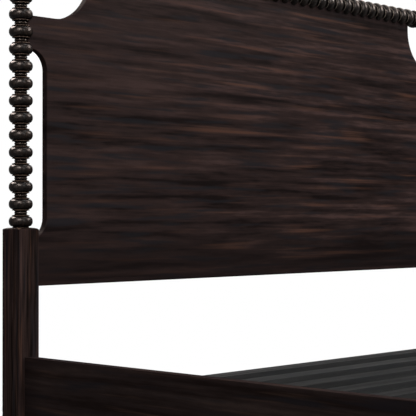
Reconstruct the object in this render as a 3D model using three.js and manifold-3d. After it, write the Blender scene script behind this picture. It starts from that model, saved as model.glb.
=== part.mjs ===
// A king-size panel bed in dark wood. Its posts and the rail over its headboard are turned as rows of
// beads, and its slat deck lies low between plain side rails.
// Millimetres. The floor is z = 0, +Y points to the headboard, and the origin lies on the floor
// under the middle of the bed.

import * as THREE from "three";
import Module from "manifold-3d";
import { mergeVertices } from "three/addons/utils/BufferGeometryUtils.js";

const wasm = await Module();
wasm.setup();

// Plan of the bed
const POST_SPACING = 1971; // left post's axis to right post's axis
const BED_LENGTH = 2093; // head posts' axes to foot posts' axes

// Fits
const FIT_GAP = 0.3; // between a piece and what it seats on or in
const OVERRUN = 5; // how far a cut runs past the face it opens

// Posts: a square block, with a turned stem on it
const POST_SIDE = 67;
const HEAD_BLOCK_TOP = 711; // height above the floor
const FOOT_BLOCK_TOP = 440; // height above the floor
const SHOULDER_RISE = 6; // the low dome that the turning leaves on the block
const SHOULDER_INSET = 1; // the dome's edge, in from the block's faces
const FIRST_BEAD_RISE = 22; // block's top to the first bead's middle
const HEAD_BEADS = 17; // the last one carries the top rail
const FOOT_BEADS = 3;

// Beads of the turned stems and of the top rail
const BEAD_PITCH = 44.8;
const BEAD_RADIUS = 31;
const BEAD_EDGE_RADIUS = 24; // where the round of a bead ends
const GROOVE_RADIUS = 15; // between two beads
const NECK_RADIUS = 22; // the fillet at each end of a stem
const BELLY_SHARE = 0.112; // half the bead's flat belly, of the pitch
const EDGE_SHARE = 0.257; // bead's middle to its edge, of the pitch
const GROOVE_SHARE = 0.417; // bead's middle to the groove, of the pitch
const TURNED_SIDES = 8;

// Top rail, a row of beads between the head posts
const TOP_RAIL_BEADS = 42;
const TOP_TENON_RADIUS = 12;
const TOP_TENON_LENGTH = 20;

// Finials, one on each post
const FINIAL_COLLAR_HEIGHT = 6;
const FINIAL_NECK_RADIUS = 12;
const FINIAL_NECK_HEIGHT = 5;
const FINIAL_RADIUS = 26;
const FINIAL_BALL_HEIGHT = 38;
const FINIAL_BALL_STEPS = 6; // from the ball's underside to its top
const DOWEL_RADIUS = 8;
const DOWEL_LENGTH = 18;

// Headboard panel, in the plane of the post axes
const PANEL_THICKNESS = 20;
const PANEL_BOTTOM = 564; // height above the floor
const PANEL_EDGE_INSET = 15; // post's axis to the edge of the ears
const LOWER_EAR_HEIGHT = 124;
const UPPER_EAR_DROP = 179.2; // top rail's axis to the ear's top
const UPPER_EAR_HEIGHT = 87;
const SLOT_EDGE = 80; // post's axis to the panel's side between its ears
const SLOT_CORNER_RADIUS = 55;
const EAR_FLARE = 1; // what that corner adds to an ear's height at the post's face
const SCALLOP_START = 106; // post's axis to where the hollow corner begins
const SCALLOP_RADIUS = 132.5;
const PANEL_TOP_DROP = 14; // top rail's axis to the panel's top, inside the rail
const ARC_STEPS = 4; // pairs of chords in a quarter circle

// Side rails, foot rail and the headboard's lower rail
const RAIL_THICKNESS = 27;
const RAIL_HEIGHT = 230;
const RAIL_TOP = 384; // height above the floor
const LOWER_RAIL_HEIGHT = 100;
const TENON_THICKNESS = 15;
const TENON_LENGTH = 20;
const TENON_SHOULDER = 20; // rail's edge to its tenon's

// Slat deck
const SLAT_COUNT = 14;
const SLAT_WIDTH = 65;
const SLAT_THICKNESS = 20;
const DECK_DROP = 103; // side rail's top to the slats' tops
const SLAT_END_GAP = 3; // slat's end to the side rail
const HEAD_SLAT_SETBACK = 36; // head posts' axes to the first slat's edge
const FOOT_SLAT_SETBACK = 36; // foot posts' axes to the last slat's edge
const CLEAT_WIDTH = 25;
const CLEAT_HEIGHT = 40;
const CLEAT_SETBACK = 10; // side rail's end to the cleat's

// Centre beam, its hangers and its legs
const BEAM_WIDTH = 45;
const BEAM_HEIGHT = 90;
const HANGER_THICKNESS = 3;
const HANGER_FLANGE = 22; // the screwed flange, past each cheek
const HANGER_DEPTH = 50; // how much of the beam it holds
const HANGER_HEIGHT = 60;
const LEG_SIDE = 45;
const LEG_PLACE_SHARES = [-0.3, 0, 0.3]; // along the beam, of its length
const LEG_BOLT_RADIUS = 4;
const LEG_BOLT_LENGTH = 60; // half in the beam, half in the leg
const PAD_RADIUS = 17;
const PAD_HEIGHT = 8;
const STEM_RADIUS = 5;
const STEM_LENGTH = 45;
const STEM_SPARE = 3; // bore past the stem's end
const LEVELLER_TRAVEL = 15; // leg's end to the pad, screwed out as far as it goes
const GLIDE_RADIUS = 15;
const GLIDE_HEIGHT = 4;
const GLIDE_PIN_RADIUS = 2;
const GLIDE_PIN_LENGTH = 14;
const ROD_SIDES = 12;

// Bed-rail hooks: a plate with two hooks in each side rail's end, a slotted plate in each post
const PLATE_WIDTH = 20;
const PLATE_HEIGHT = 120;
const PLATE_THICKNESS = 2.5;
const HOOK_SPACING = 60;
const HOOK_THICKNESS = 3;
const HOOK_NECK_HEIGHT = 12;
const HOOK_NIB_DEPTH = 5; // along the rail
const HOOK_NIB_DROP = 8; // below the edge it hangs on
const POCKET_CLEARANCE = 2; // around a hook, in its slot and in the post

// Heights and places that follow
const halfSpacing = POST_SPACING / 2;
const halfLength = BED_LENGTH / 2;
const halfPost = POST_SIDE / 2;
const topRailHeight = HEAD_BLOCK_TOP + FIRST_BEAD_RISE + (HEAD_BEADS - 1) * BEAD_PITCH;
const railBottom = RAIL_TOP - RAIL_HEIGHT;
const slatTop = RAIL_TOP - DECK_DROP;
const deckSeat = slatTop - SLAT_THICKNESS - FIT_GAP; // tops of the cleats, the beam and the lower rail
const beamBottom = deckSeat - BEAM_HEIGHT;
const plateMiddle = RAIL_TOP - RAIL_HEIGHT / 2;
const plateLow = plateMiddle - PLATE_HEIGHT / 2;
const plateHigh = plateMiddle + PLATE_HEIGHT / 2;
const beamLength = BED_LENGTH - RAIL_THICKNESS - 2 * (HANGER_THICKNESS + 2 * FIT_GAP);

const turnedWood = new THREE.MeshStandardMaterial({ color: 0x1f1816, roughness: 0.38, flatShading: true });
const blockWood = new THREE.MeshStandardMaterial({ color: 0x221a18, roughness: 0.45, flatShading: true });
const panelWood = new THREE.MeshStandardMaterial({ color: 0x2b2220, roughness: 0.5, flatShading: true });
const railWood = new THREE.MeshStandardMaterial({ color: 0x1a1311, roughness: 0.5, flatShading: true });
const slatWood = new THREE.MeshStandardMaterial({ color: 0x3c3c3c, roughness: 0.7, flatShading: true });
const beamWood = new THREE.MeshStandardMaterial({ color: 0x2a2624, roughness: 0.65, flatShading: true });
const steel = new THREE.MeshStandardMaterial({ color: 0x55565a, roughness: 0.4, metalness: 0.9 });
const plastic = new THREE.MeshStandardMaterial({ color: 0x151515, roughness: 0.6 });

// A closed solid from a geometry, its shared corners merged and its empty faces dropped.
function solidOf(geometry) {
  const bare = new THREE.BufferGeometry();
  bare.setAttribute("position", geometry.getAttribute("position"));
  bare.setIndex(geometry.index);
  const merged = mergeVertices(bare);
  const corners = merged.index.array;
  const faces = [];
  for (let i = 0; i < corners.length; i += 3) {
    const [a, b, c] = corners.slice(i, i + 3);
    if (a !== b && b !== c && c !== a) {
      faces.push(a, b, c);
    }
  }
  const vertProperties = merged.getAttribute("position").array;
  return new wasm.Manifold(new wasm.Mesh({ numProp: 3, vertProperties, triVerts: new Uint32Array(faces) }));
}

// A mesh of a solid, named, with its material.
function pieceOf(name, solid, material) {
  const { vertProperties, triVerts } = solid.getMesh();
  const geometry = new THREE.BufferGeometry();
  geometry.setAttribute("position", new THREE.BufferAttribute(vertProperties, 3));
  geometry.setIndex(new THREE.BufferAttribute(triVerts, 1));
  geometry.computeVertexNormals();
  const mesh = new THREE.Mesh(geometry, material);
  mesh.name = name;
  return mesh;
}

// A range along an axis, lowest first: from near to far on the side that the sign of towards gives.
function span(towards, near, far) {
  return [towards * near, towards * far].sort((a, b) => a - b);
}

// A box from its low and high value on each axis.
function block([x0, x1], [y0, y1], [z0, z1]) {
  const box = new THREE.BoxGeometry(x1 - x0, y1 - y0, z1 - z0);
  return solidOf(box.translate((x0 + x1) / 2, (y0 + y1) / 2, (z0 + z1) / 2));
}

// A turned shape about the Z axis, from [radius, height] points that begin and end on the axis.
// Flats face along X and Y.
function turned(points, sides) {
  const profile = points.map(([radius, height]) => new THREE.Vector2(radius, height));
  return new THREE.LatheGeometry(profile, sides, Math.PI / sides).rotateX(Math.PI / 2);
}

function rod(radius, low, high, sides = ROD_SIDES) {
  return turned([[0, low], [radius, low], [radius, high], [0, high]], sides);
}

// An outline in the Y-Z plane, carried across X by a thickness centred on x = 0.
function plateAcrossX(points, thickness) {
  const outline = new THREE.Shape(points.map(([y, z]) => new THREE.Vector2(y, z)));
  const plate = new THREE.ExtrudeGeometry(outline, { depth: thickness, bevelEnabled: false });
  plate.translate(0, 0, -thickness / 2);
  const [x, y, z] = [new THREE.Vector3(1, 0, 0), new THREE.Vector3(0, 1, 0), new THREE.Vector3(0, 0, 1)];
  return solidOf(plate.applyMatrix4(new THREE.Matrix4().makeBasis(y, z, x)));
}

// An outline in the X-Z plane, carried along Y by a depth centred on y = 0.
function plateAlongY(outline, depth) {
  const plate = new THREE.ExtrudeGeometry(outline, { depth, bevelEnabled: false });
  return solidOf(plate.rotateX(Math.PI / 2).translate(0, depth / 2, 0));
}

function joined(...solids) {
  return solids.reduce((whole, solid) => whole.add(solid));
}

function cut(solid, ...tools) {
  return tools.reduce((rest, tool) => rest.subtract(tool), solid);
}

// Profile points of a row of beads, from the first groove to the last.
function beadRow(firstMiddle, pitch, count) {
  const half = [[GROOVE_SHARE, GROOVE_RADIUS], [EDGE_SHARE, BEAD_EDGE_RADIUS], [BELLY_SHARE, BEAD_RADIUS]];
  const rising = half.map(([share, radius]) => [-share, radius]);
  const points = [];
  for (let bead = 0; bead < count; bead += 1) {
    const middle = firstMiddle + bead * pitch;
    for (const [share, radius] of [...rising, ...half.toReversed()]) {
      points.push([radius, middle + share * pitch]);
    }
  }
  return points;
}

function stemTop(blockTop, beads) {
  return blockTop + FIRST_BEAD_RISE + (beads - 1 / 2) * BEAD_PITCH;
}

// A post on its own axis: the square block, its domed shoulder and the beads, with the bores for
// its finial's dowel and its glide's pin.
function postSolid(blockTop, beads) {
  const bottom = GLIDE_HEIGHT + FIT_GAP;
  const top = stemTop(blockTop, beads);
  const dome = halfPost - SHOULDER_INSET;
  const row = beadRow(blockTop + FIRST_BEAD_RISE, BEAD_PITCH, beads).slice(1, -1);
  const stem = [
    [0, blockTop - SHOULDER_RISE],
    [dome, blockTop - SHOULDER_RISE],
    [dome, blockTop],
    [NECK_RADIUS, blockTop + SHOULDER_RISE],
    ...row,
    [NECK_RADIUS, top],
    [0, top],
  ];
  const square = block([-halfPost, halfPost], [-halfPost, halfPost], [bottom, blockTop]);
  const dowelBore = rod(DOWEL_RADIUS + FIT_GAP, top - DOWEL_LENGTH - FIT_GAP, top + OVERRUN);
  const pinBore = rod(GLIDE_PIN_RADIUS + FIT_GAP, bottom - OVERRUN, bottom + GLIDE_PIN_LENGTH + FIT_GAP);
  return cut(joined(square, solidOf(turned(stem, TURNED_SIDES))), solidOf(dowelBore), solidOf(pinBore));
}

// What a mortise takes out of a post: towards is -1 or 1, the way along X to the mortise's mouth.
function mortise(towards, depth, thickness, low, high) {
  const reach = span(towards, halfPost - depth - FIT_GAP, halfPost + OVERRUN);
  const half = thickness / 2 + FIT_GAP;
  return block(reach, [-half, half], [low - FIT_GAP, high + FIT_GAP]);
}

function hookHeights() {
  return [plateMiddle - HOOK_SPACING / 2, plateMiddle + HOOK_SPACING / 2];
}

// What the slotted plate and the hooks behind it take out of a post. The plate is let into the
// face that looks along Y by the sign of towards.
function hookPockets(towards) {
  const plateBack = halfPost - PLATE_THICKNESS - FIT_GAP;
  const pocketBack = plateBack - FIT_GAP - HOOK_NIB_DEPTH - POCKET_CLEARANCE;
  const halfPlate = PLATE_WIDTH / 2 + FIT_GAP;
  const halfPocket = HOOK_THICKNESS / 2 + POCKET_CLEARANCE;
  const heights = [plateLow - FIT_GAP, plateHigh + FIT_GAP];
  const recess = block([-halfPlate, halfPlate], span(towards, plateBack, halfPost + OVERRUN), heights);
  const pockets = hookHeights().map((edge) => {
    const low = edge - HOOK_NIB_DROP - POCKET_CLEARANCE;
    const high = edge + HOOK_NECK_HEIGHT + HOOK_NIB_DROP + POCKET_CLEARANCE;
    return block([-halfPocket, halfPocket], span(towards, pocketBack, halfPost), [low, high]);
  });
  return [recess, ...pockets];
}

// A head post, on its own axis. inward is the way along X to the bed's middle.
function headPost(name, inward) {
  const boreRadius = TOP_TENON_RADIUS + FIT_GAP;
  const tenonBore = rod(boreRadius, BEAD_RADIUS - TOP_TENON_LENGTH, BEAD_RADIUS + OVERRUN, TURNED_SIDES);
  const railBore = tenonBore.rotateY((inward * Math.PI) / 2).translate(0, 0, topRailHeight);
  const earTop = topRailHeight - UPPER_EAR_DROP;
  const earDepth = halfPost - PANEL_EDGE_INSET;
  const lowerEarTop = PANEL_BOTTOM + LOWER_EAR_HEIGHT + EAR_FLARE;
  const upperEarLow = earTop - UPPER_EAR_HEIGHT - EAR_FLARE;
  const tenonLow = deckSeat - LOWER_RAIL_HEIGHT + TENON_SHOULDER;
  const tenonHigh = deckSeat - TENON_SHOULDER;
  const solid = cut(
    postSolid(HEAD_BLOCK_TOP, HEAD_BEADS),
    solidOf(railBore),
    mortise(inward, earDepth, PANEL_THICKNESS, PANEL_BOTTOM, lowerEarTop),
    mortise(inward, earDepth, PANEL_THICKNESS, upperEarLow, earTop),
    mortise(inward, TENON_LENGTH, TENON_THICKNESS, tenonLow, tenonHigh),
    ...hookPockets(-1),
  );
  const mesh = pieceOf(name, solid, blockWood);
  mesh.position.set(-inward * halfSpacing, 0, 0);
  return mesh;
}

// A foot post, on its own axis. inward is the way along X to the bed's middle.
function footPost(name, inward) {
  const tenonLow = railBottom + TENON_SHOULDER;
  const tenonHigh = RAIL_TOP - TENON_SHOULDER;
  const solid = cut(
    postSolid(FOOT_BLOCK_TOP, FOOT_BEADS),
    mortise(inward, TENON_LENGTH, TENON_THICKNESS, tenonLow, tenonHigh),
    ...hookPockets(1),
  );
  const mesh = pieceOf(name, solid, blockWood);
  mesh.position.set(-inward * halfSpacing, 0, 0);
  return mesh;
}

// A button on a collar and a neck, with its dowel below z = 0. The button is half an ellipse.
function finial(name, side, seat) {
  const neckLow = FINIAL_COLLAR_HEIGHT;
  const ballLow = neckLow + FINIAL_NECK_HEIGHT;
  const ball = [];
  for (let step = 1; step < FINIAL_BALL_STEPS; step += 1) {
    const angle = (Math.PI * step) / FINIAL_BALL_STEPS;
    const rise = (FINIAL_BALL_HEIGHT * (1 - Math.cos(angle))) / 2;
    ball.push([FINIAL_RADIUS * Math.sin(angle), ballLow + rise]);
  }
  const profile = [
    [0, -DOWEL_LENGTH],
    [DOWEL_RADIUS, -DOWEL_LENGTH],
    [DOWEL_RADIUS, 0],
    [NECK_RADIUS, 0],
    [NECK_RADIUS, neckLow],
    [FINIAL_NECK_RADIUS, neckLow],
    [FINIAL_NECK_RADIUS, ballLow],
    ...ball,
    [0, ballLow + FINIAL_BALL_HEIGHT],
  ];
  const mesh = pieceOf(name, solidOf(turned(profile, ROD_SIDES)), turnedWood);
  mesh.position.set(side * halfSpacing, 0, seat + FIT_GAP);
  return mesh;
}

// The bead-turned rail over the panel: a round tenon at each end, and a groove for the panel's
// top along its underside.
function topRail() {
  const shoulder = halfSpacing - BEAD_RADIUS - FIT_GAP;
  const pitch = (2 * shoulder) / TOP_RAIL_BEADS;
  const end = shoulder + TOP_TENON_LENGTH - FIT_GAP;
  const profile = [
    [0, -end],
    [TOP_TENON_RADIUS, -end],
    [TOP_TENON_RADIUS, -shoulder],
    [GROOVE_RADIUS, -shoulder],
    ...beadRow(pitch / 2 - shoulder, pitch, TOP_RAIL_BEADS),
    [GROOVE_RADIUS, shoulder],
    [TOP_TENON_RADIUS, shoulder],
    [TOP_TENON_RADIUS, end],
    [0, end],
  ];
  const grooveEnd = halfSpacing - SCALLOP_START - SCALLOP_RADIUS + FIT_GAP;
  const grooveHalf = PANEL_THICKNESS / 2 + FIT_GAP;
  const groove = block(
    [-grooveEnd, grooveEnd],
    [-grooveHalf, grooveHalf],
    [-BEAD_RADIUS - OVERRUN, -PANEL_TOP_DROP + FIT_GAP],
  );
  const row = turned(profile, TURNED_SIDES).rotateY(Math.PI / 2);
  const mesh = pieceOf("top_rail", cut(solidOf(row), groove), turnedWood);
  mesh.position.set(0, 0, topRailHeight);
  return mesh;
}

// The right half of the panel's outline, from its bottom edge to its top.
function panelSide() {
  const edge = halfSpacing - PANEL_EDGE_INSET;
  const slotLow = PANEL_BOTTOM + LOWER_EAR_HEIGHT;
  const earTop = topRailHeight - UPPER_EAR_DROP;
  const slotHigh = earTop - UPPER_EAR_HEIGHT;
  const slotCentre = halfSpacing - SLOT_EDGE + SLOT_CORNER_RADIUS;
  const scallopCentre = halfSpacing - SCALLOP_START;
  const side = new THREE.Path();
  side.moveTo(edge, PANEL_BOTTOM);
  side.lineTo(edge, slotLow);
  side.absarc(slotCentre, slotLow + SLOT_CORNER_RADIUS, SLOT_CORNER_RADIUS, -Math.PI / 2, -Math.PI, true);
  side.absarc(slotCentre, slotHigh - SLOT_CORNER_RADIUS, SLOT_CORNER_RADIUS, Math.PI, Math.PI / 2, true);
  side.lineTo(edge, slotHigh);
  side.lineTo(edge, earTop);
  side.absarc(scallopCentre, earTop + SCALLOP_RADIUS, SCALLOP_RADIUS, -Math.PI / 2, -Math.PI, true);
  side.lineTo(scallopCentre - SCALLOP_RADIUS, topRailHeight - PANEL_TOP_DROP);
  return side.getPoints(ARC_STEPS);
}

function headboardPanel() {
  const right = panelSide();
  const left = right.map((point) => new THREE.Vector2(-point.x, point.y)).reverse();
  const outline = new THREE.Shape([...right, ...left]);
  return pieceOf("headboard_panel", plateAlongY(outline, PANEL_THICKNESS), panelWood);
}

// A plain rail between two posts, with a tenon at each end.
function tenonedRail(name, low, high, material) {
  const shoulder = halfSpacing - halfPost - FIT_GAP;
  const end = halfSpacing - halfPost + TENON_LENGTH;
  const halfRail = RAIL_THICKNESS / 2;
  const halfTenon = TENON_THICKNESS / 2;
  const board = block([-shoulder, shoulder], [-halfRail, halfRail], [low, high]);
  const tenons = block([-end, end], [-halfTenon, halfTenon], [low + TENON_SHOULDER, high - TENON_SHOULDER]);
  return pieceOf(name, joined(board, tenons), material);
}

// A side rail along Y, let in at both ends for its hook plates.
function sideRail(name, side) {
  const end = halfLength - halfPost - FIT_GAP;
  const halfRail = RAIL_THICKNESS / 2;
  const halfPlate = PLATE_WIDTH / 2 + FIT_GAP;
  const floor = end - PLATE_THICKNESS - FIT_GAP;
  const heights = [plateLow - FIT_GAP, plateHigh + FIT_GAP];
  const board = block([-halfRail, halfRail], [-end, end], [railBottom, RAIL_TOP]);
  const headRecess = block([-halfPlate, halfPlate], span(1, floor, end + OVERRUN), heights);
  const footRecess = block([-halfPlate, halfPlate], span(-1, floor, end + OVERRUN), heights);
  const mesh = pieceOf(name, cut(board, headRecess, footRecess), railWood);
  mesh.position.set(side * halfSpacing, 0, 0);
  return mesh;
}

// The plate in a side rail's end, with its two hooks. y = 0 is the post's face, and the post
// lies towards y by the sign of towards.
function hookPlate(name, towards) {
  const face = -FIT_GAP;
  const nibNear = PLATE_THICKNESS + FIT_GAP;
  const nibFar = nibNear + HOOK_NIB_DEPTH;
  const back = face - PLATE_THICKNESS / 2;
  const ys = span(towards, face - PLATE_THICKNESS, face);
  const plate = block([-PLATE_WIDTH / 2, PLATE_WIDTH / 2], ys, [plateLow, plateHigh]);
  const hooks = hookHeights().map((edge) => {
    const rest = edge + FIT_GAP;
    const top = rest + HOOK_NECK_HEIGHT;
    const nib = rest - HOOK_NIB_DROP;
    const neck = [[nibFar, top], [back, top], [back, rest], [nibNear, rest]];
    const outline = [...neck, [nibNear, nib], [nibFar, nib]];
    return plateAcrossX(outline.map(([y, z]) => [towards * y, z]), HOOK_THICKNESS);
  });
  return pieceOf(name, joined(plate, ...hooks), steel);
}

// The plate let into a post's face, with a slot for each hook. Placed as hookPlate is.
function slottedPlate(name, towards) {
  const halfSlot = HOOK_THICKNESS / 2 + FIT_GAP;
  const slotDepth = span(towards, -OVERRUN, PLATE_THICKNESS + OVERRUN);
  const slots = hookHeights().map((edge) => {
    const top = edge + HOOK_NECK_HEIGHT + HOOK_NIB_DROP + POCKET_CLEARANCE;
    return block([-halfSlot, halfSlot], slotDepth, [edge, top]);
  });
  const ys = span(towards, 0, PLATE_THICKNESS);
  const plate = block([-PLATE_WIDTH / 2, PLATE_WIDTH / 2], ys, [plateLow, plateHigh]);
  return pieceOf(name, cut(plate, ...slots), steel);
}

// A cleat along a side rail's inner face, which the slats' ends lie on.
function slatCleat(name, side) {
  const end = halfLength - halfPost - FIT_GAP - CLEAT_SETBACK;
  const half = CLEAT_WIDTH / 2;
  const solid = block([-half, half], [-end, end], [deckSeat - CLEAT_HEIGHT, deckSeat]);
  const mesh = pieceOf(name, solid, beamWood);
  mesh.position.x = side * (halfSpacing - RAIL_THICKNESS / 2 - FIT_GAP - CLEAT_WIDTH / 2);
  return mesh;
}

// One slat across the bed. The first lies at the head.
function slat(number) {
  const first = halfLength - HEAD_SLAT_SETBACK - SLAT_WIDTH / 2;
  const last = FOOT_SLAT_SETBACK + SLAT_WIDTH / 2 - halfLength;
  const end = halfSpacing - RAIL_THICKNESS / 2 - SLAT_END_GAP;
  const half = SLAT_WIDTH / 2;
  const solid = block([-end, end], [-half, half], [slatTop - SLAT_THICKNESS, slatTop]);
  const mesh = pieceOf(`slat_${String(number).padStart(2, "0")}`, solid, slatWood);
  mesh.position.y = first + ((last - first) * (number - 1)) / (SLAT_COUNT - 1);
  return mesh;
}

function legPlaces() {
  return LEG_PLACE_SHARES.map((share) => share * beamLength);
}

// The beam under the slats' middles, with a bore for each leg's bolt.
function centreBeam() {
  const halfBeam = BEAM_WIDTH / 2;
  const beam = block([-halfBeam, halfBeam], [-beamLength / 2, beamLength / 2], [beamBottom, deckSeat]);
  const top = beamBottom + LEG_BOLT_LENGTH / 2 + FIT_GAP;
  const bores = legPlaces().map((place) =>
    solidOf(rod(LEG_BOLT_RADIUS + FIT_GAP, beamBottom - OVERRUN, top).translate(0, place, 0)),
  );
  return pieceOf("centre_beam", cut(beam, ...bores), beamWood);
}

// A steel saddle that holds one end of the beam: a bent U with a flange screwed to the rail.
// y = 0 is the rail's face, and the saddle reaches from it by the sign of towards.
function beamHanger(name, towards) {
  const inner = BEAM_WIDTH / 2 + FIT_GAP;
  const outer = inner + HANGER_THICKNESS;
  const bottom = beamBottom - FIT_GAP;
  const top = bottom + HANGER_HEIGHT;
  const heights = [bottom - HANGER_THICKNESS, top];
  const back = FIT_GAP + HANGER_THICKNESS;
  const front = FIT_GAP + HANGER_DEPTH;
  const saddle = block([-outer, outer], span(towards, FIT_GAP, front), heights);
  const beamWay = block([-inner, inner], span(towards, back, front + OVERRUN), [bottom, top + OVERRUN]);
  const flangeEnd = outer + HANGER_FLANGE;
  const flange = block([-flangeEnd, flangeEnd], span(towards, FIT_GAP, back), heights);
  return pieceOf(name, joined(cut(saddle, beamWay), flange), steel);
}

// A square leg under the beam, bored above for its bolt and below for its levelling foot.
function centreLeg(number) {
  const half = LEG_SIDE / 2;
  const top = beamBottom - FIT_GAP;
  const bottom = PAD_HEIGHT + LEVELLER_TRAVEL + FIT_GAP;
  const boltBore = rod(LEG_BOLT_RADIUS + FIT_GAP, top - LEG_BOLT_LENGTH / 2 - FIT_GAP, top + OVERRUN);
  const stemBore = rod(STEM_RADIUS + FIT_GAP, bottom - OVERRUN, bottom + STEM_LENGTH + STEM_SPARE);
  const post = block([-half, half], [-half, half], [bottom, top]);
  return pieceOf(`centre_leg_${number}`, cut(post, solidOf(boltBore), solidOf(stemBore)), beamWood);
}

function legBolt(number) {
  const middle = beamBottom - FIT_GAP / 2;
  const bolt = rod(LEG_BOLT_RADIUS, middle - LEG_BOLT_LENGTH / 2, middle + LEG_BOLT_LENGTH / 2);
  return pieceOf(`leg_bolt_${number}`, solidOf(bolt), steel);
}

// A round pad with its threaded stem, screwed out by its whole travel.
function levellingFoot(number) {
  const top = PAD_HEIGHT + STEM_LENGTH;
  const pad = [[0, 0], [PAD_RADIUS, 0], [PAD_RADIUS, PAD_HEIGHT], [STEM_RADIUS, PAD_HEIGHT]];
  const profile = [...pad, [STEM_RADIUS, top], [0, top]];
  return pieceOf(`levelling_foot_${number}`, solidOf(turned(profile, ROD_SIDES)), plastic);
}

// A nail-in glide under a post.
function glide(name, x) {
  const top = GLIDE_HEIGHT + GLIDE_PIN_LENGTH;
  const disc = [[0, 0], [GLIDE_RADIUS, 0], [GLIDE_RADIUS, GLIDE_HEIGHT], [GLIDE_PIN_RADIUS, GLIDE_HEIGHT]];
  const profile = [...disc, [GLIDE_PIN_RADIUS, top], [0, top]];
  const mesh = pieceOf(name, solidOf(turned(profile, ROD_SIDES)), plastic);
  mesh.position.x = x;
  return mesh;
}

function headboard() {
  const group = new THREE.Group();
  group.position.y = halfLength;
  group.add(headPost("headboard_post_left", 1), headPost("headboard_post_right", -1));
  group.add(headboardPanel(), topRail());
  group.add(tenonedRail("headboard_lower_rail", deckSeat - LOWER_RAIL_HEIGHT, deckSeat, railWood));
  const seat = stemTop(HEAD_BLOCK_TOP, HEAD_BEADS);
  group.add(finial("headboard_finial_left", -1, seat), finial("headboard_finial_right", 1, seat));
  group.add(glide("glide_head_left", -halfSpacing), glide("glide_head_right", halfSpacing));
  return group;
}

function footboard() {
  const group = new THREE.Group();
  group.position.y = -halfLength;
  group.add(footPost("foot_post_left", 1), footPost("foot_post_right", -1));
  group.add(tenonedRail("foot_rail", railBottom, RAIL_TOP, railWood));
  const seat = stemTop(FOOT_BLOCK_TOP, FOOT_BEADS);
  group.add(finial("foot_finial_left", -1, seat), finial("foot_finial_right", 1, seat));
  group.add(glide("glide_foot_left", -halfSpacing), glide("glide_foot_right", halfSpacing));
  return group;
}

// The two side rails with their cleats, and the plates of the four hook joints.
function sideRails() {
  const group = new THREE.Group();
  for (const [hand, side] of [["left", -1], ["right", 1]]) {
    group.add(sideRail(`side_rail_${hand}`, side), slatCleat(`slat_cleat_${hand}`, side));
    for (const [end, towards] of [["head", 1], ["foot", -1]]) {
      const joint = new THREE.Group();
      joint.position.set(side * halfSpacing, towards * (halfLength - halfPost), 0);
      joint.add(hookPlate(`hook_plate_${end}_${hand}`, towards));
      joint.add(slottedPlate(`slotted_plate_${end}_${hand}`, towards));
      group.add(joint);
    }
  }
  return group;
}

function deck() {
  const group = new THREE.Group();
  for (let number = 1; number <= SLAT_COUNT; number += 1) {
    group.add(slat(number));
  }
  return group;
}

// The centre beam in its hangers, on its legs and their levelling feet.
function centreSupport() {
  const group = new THREE.Group();
  const railFace = halfLength - RAIL_THICKNESS / 2;
  const headHanger = beamHanger("beam_hanger_head", -1);
  const footHanger = beamHanger("beam_hanger_foot", 1);
  headHanger.position.y = railFace;
  footHanger.position.y = -railFace;
  group.add(centreBeam(), headHanger, footHanger);
  legPlaces().forEach((place, index) => {
    const leg = new THREE.Group();
    leg.position.y = place;
    leg.add(centreLeg(index + 1), legBolt(index + 1), levellingFoot(index + 1));
    group.add(leg);
  });
  return group;
}

const bed = new THREE.Group();
bed.add(headboard(), footboard(), sideRails(), deck(), centreSupport());

export default bed;
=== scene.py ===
"""The looks of a king-size panel bed in dark wood, built around its packed frame.

The posts and the rail over the headboard are turned as rows of beads. The headboard is one flat
board with ears, side slots and hollow corners. Everything is in metres, in the frame's own axes:
the floor is z = 0, +Y points to the headboard, and the origin lies under the bed's middle.
"""

import logging
import math
from collections.abc import Callable, Sequence
from dataclasses import dataclass, replace
from enum import Enum

import bpy
import numpy as np
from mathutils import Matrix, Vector

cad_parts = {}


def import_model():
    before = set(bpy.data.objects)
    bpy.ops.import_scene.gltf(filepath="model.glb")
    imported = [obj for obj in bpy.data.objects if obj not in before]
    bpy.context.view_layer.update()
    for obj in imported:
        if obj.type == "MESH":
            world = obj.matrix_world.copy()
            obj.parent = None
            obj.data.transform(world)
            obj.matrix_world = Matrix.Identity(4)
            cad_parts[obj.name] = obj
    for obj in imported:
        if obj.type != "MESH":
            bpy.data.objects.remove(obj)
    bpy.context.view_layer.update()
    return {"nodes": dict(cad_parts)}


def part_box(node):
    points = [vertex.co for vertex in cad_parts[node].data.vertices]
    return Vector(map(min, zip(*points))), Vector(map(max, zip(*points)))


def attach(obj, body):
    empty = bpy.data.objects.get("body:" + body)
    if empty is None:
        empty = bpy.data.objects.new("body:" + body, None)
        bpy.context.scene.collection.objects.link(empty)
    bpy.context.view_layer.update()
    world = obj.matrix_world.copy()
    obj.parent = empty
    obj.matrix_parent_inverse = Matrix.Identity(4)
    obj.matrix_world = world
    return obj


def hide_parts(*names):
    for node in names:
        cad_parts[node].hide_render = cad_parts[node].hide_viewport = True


LOG = logging.getLogger("panel_bed")
QUARTER_TURN = math.pi / 2
WHITE = (1.0, 1.0, 1.0, 1.0)
SUPPORT = 0.003  # from an eased edge to the ring or row that keeps the flat beside it flat

Colour = tuple[float, float, float, float]
Socket = bpy.types.NodeSocket
Span = tuple[float, float]


class Axis(Enum):
    """The way a piece runs, as the numbers of its own axis and of the two axes across it."""

    X = (0, 1, 2)
    Y = (1, 2, 0)
    Z = (2, 0, 1)


class Hand(Enum):
    """The two sides of the bed, and the sign of X on each."""

    LEFT = -1
    RIGHT = 1


class Slot(Enum):
    """The record's material slots."""

    POST = "post_wood"
    PANEL = "panel_wood"
    TURNED = "turned_wood"
    RAIL = "rail_wood"
    SLAT = "slat_black"
    BEAM = "beam_wood"
    STEEL = "steel"
    PLASTIC = "black_plastic"


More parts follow.
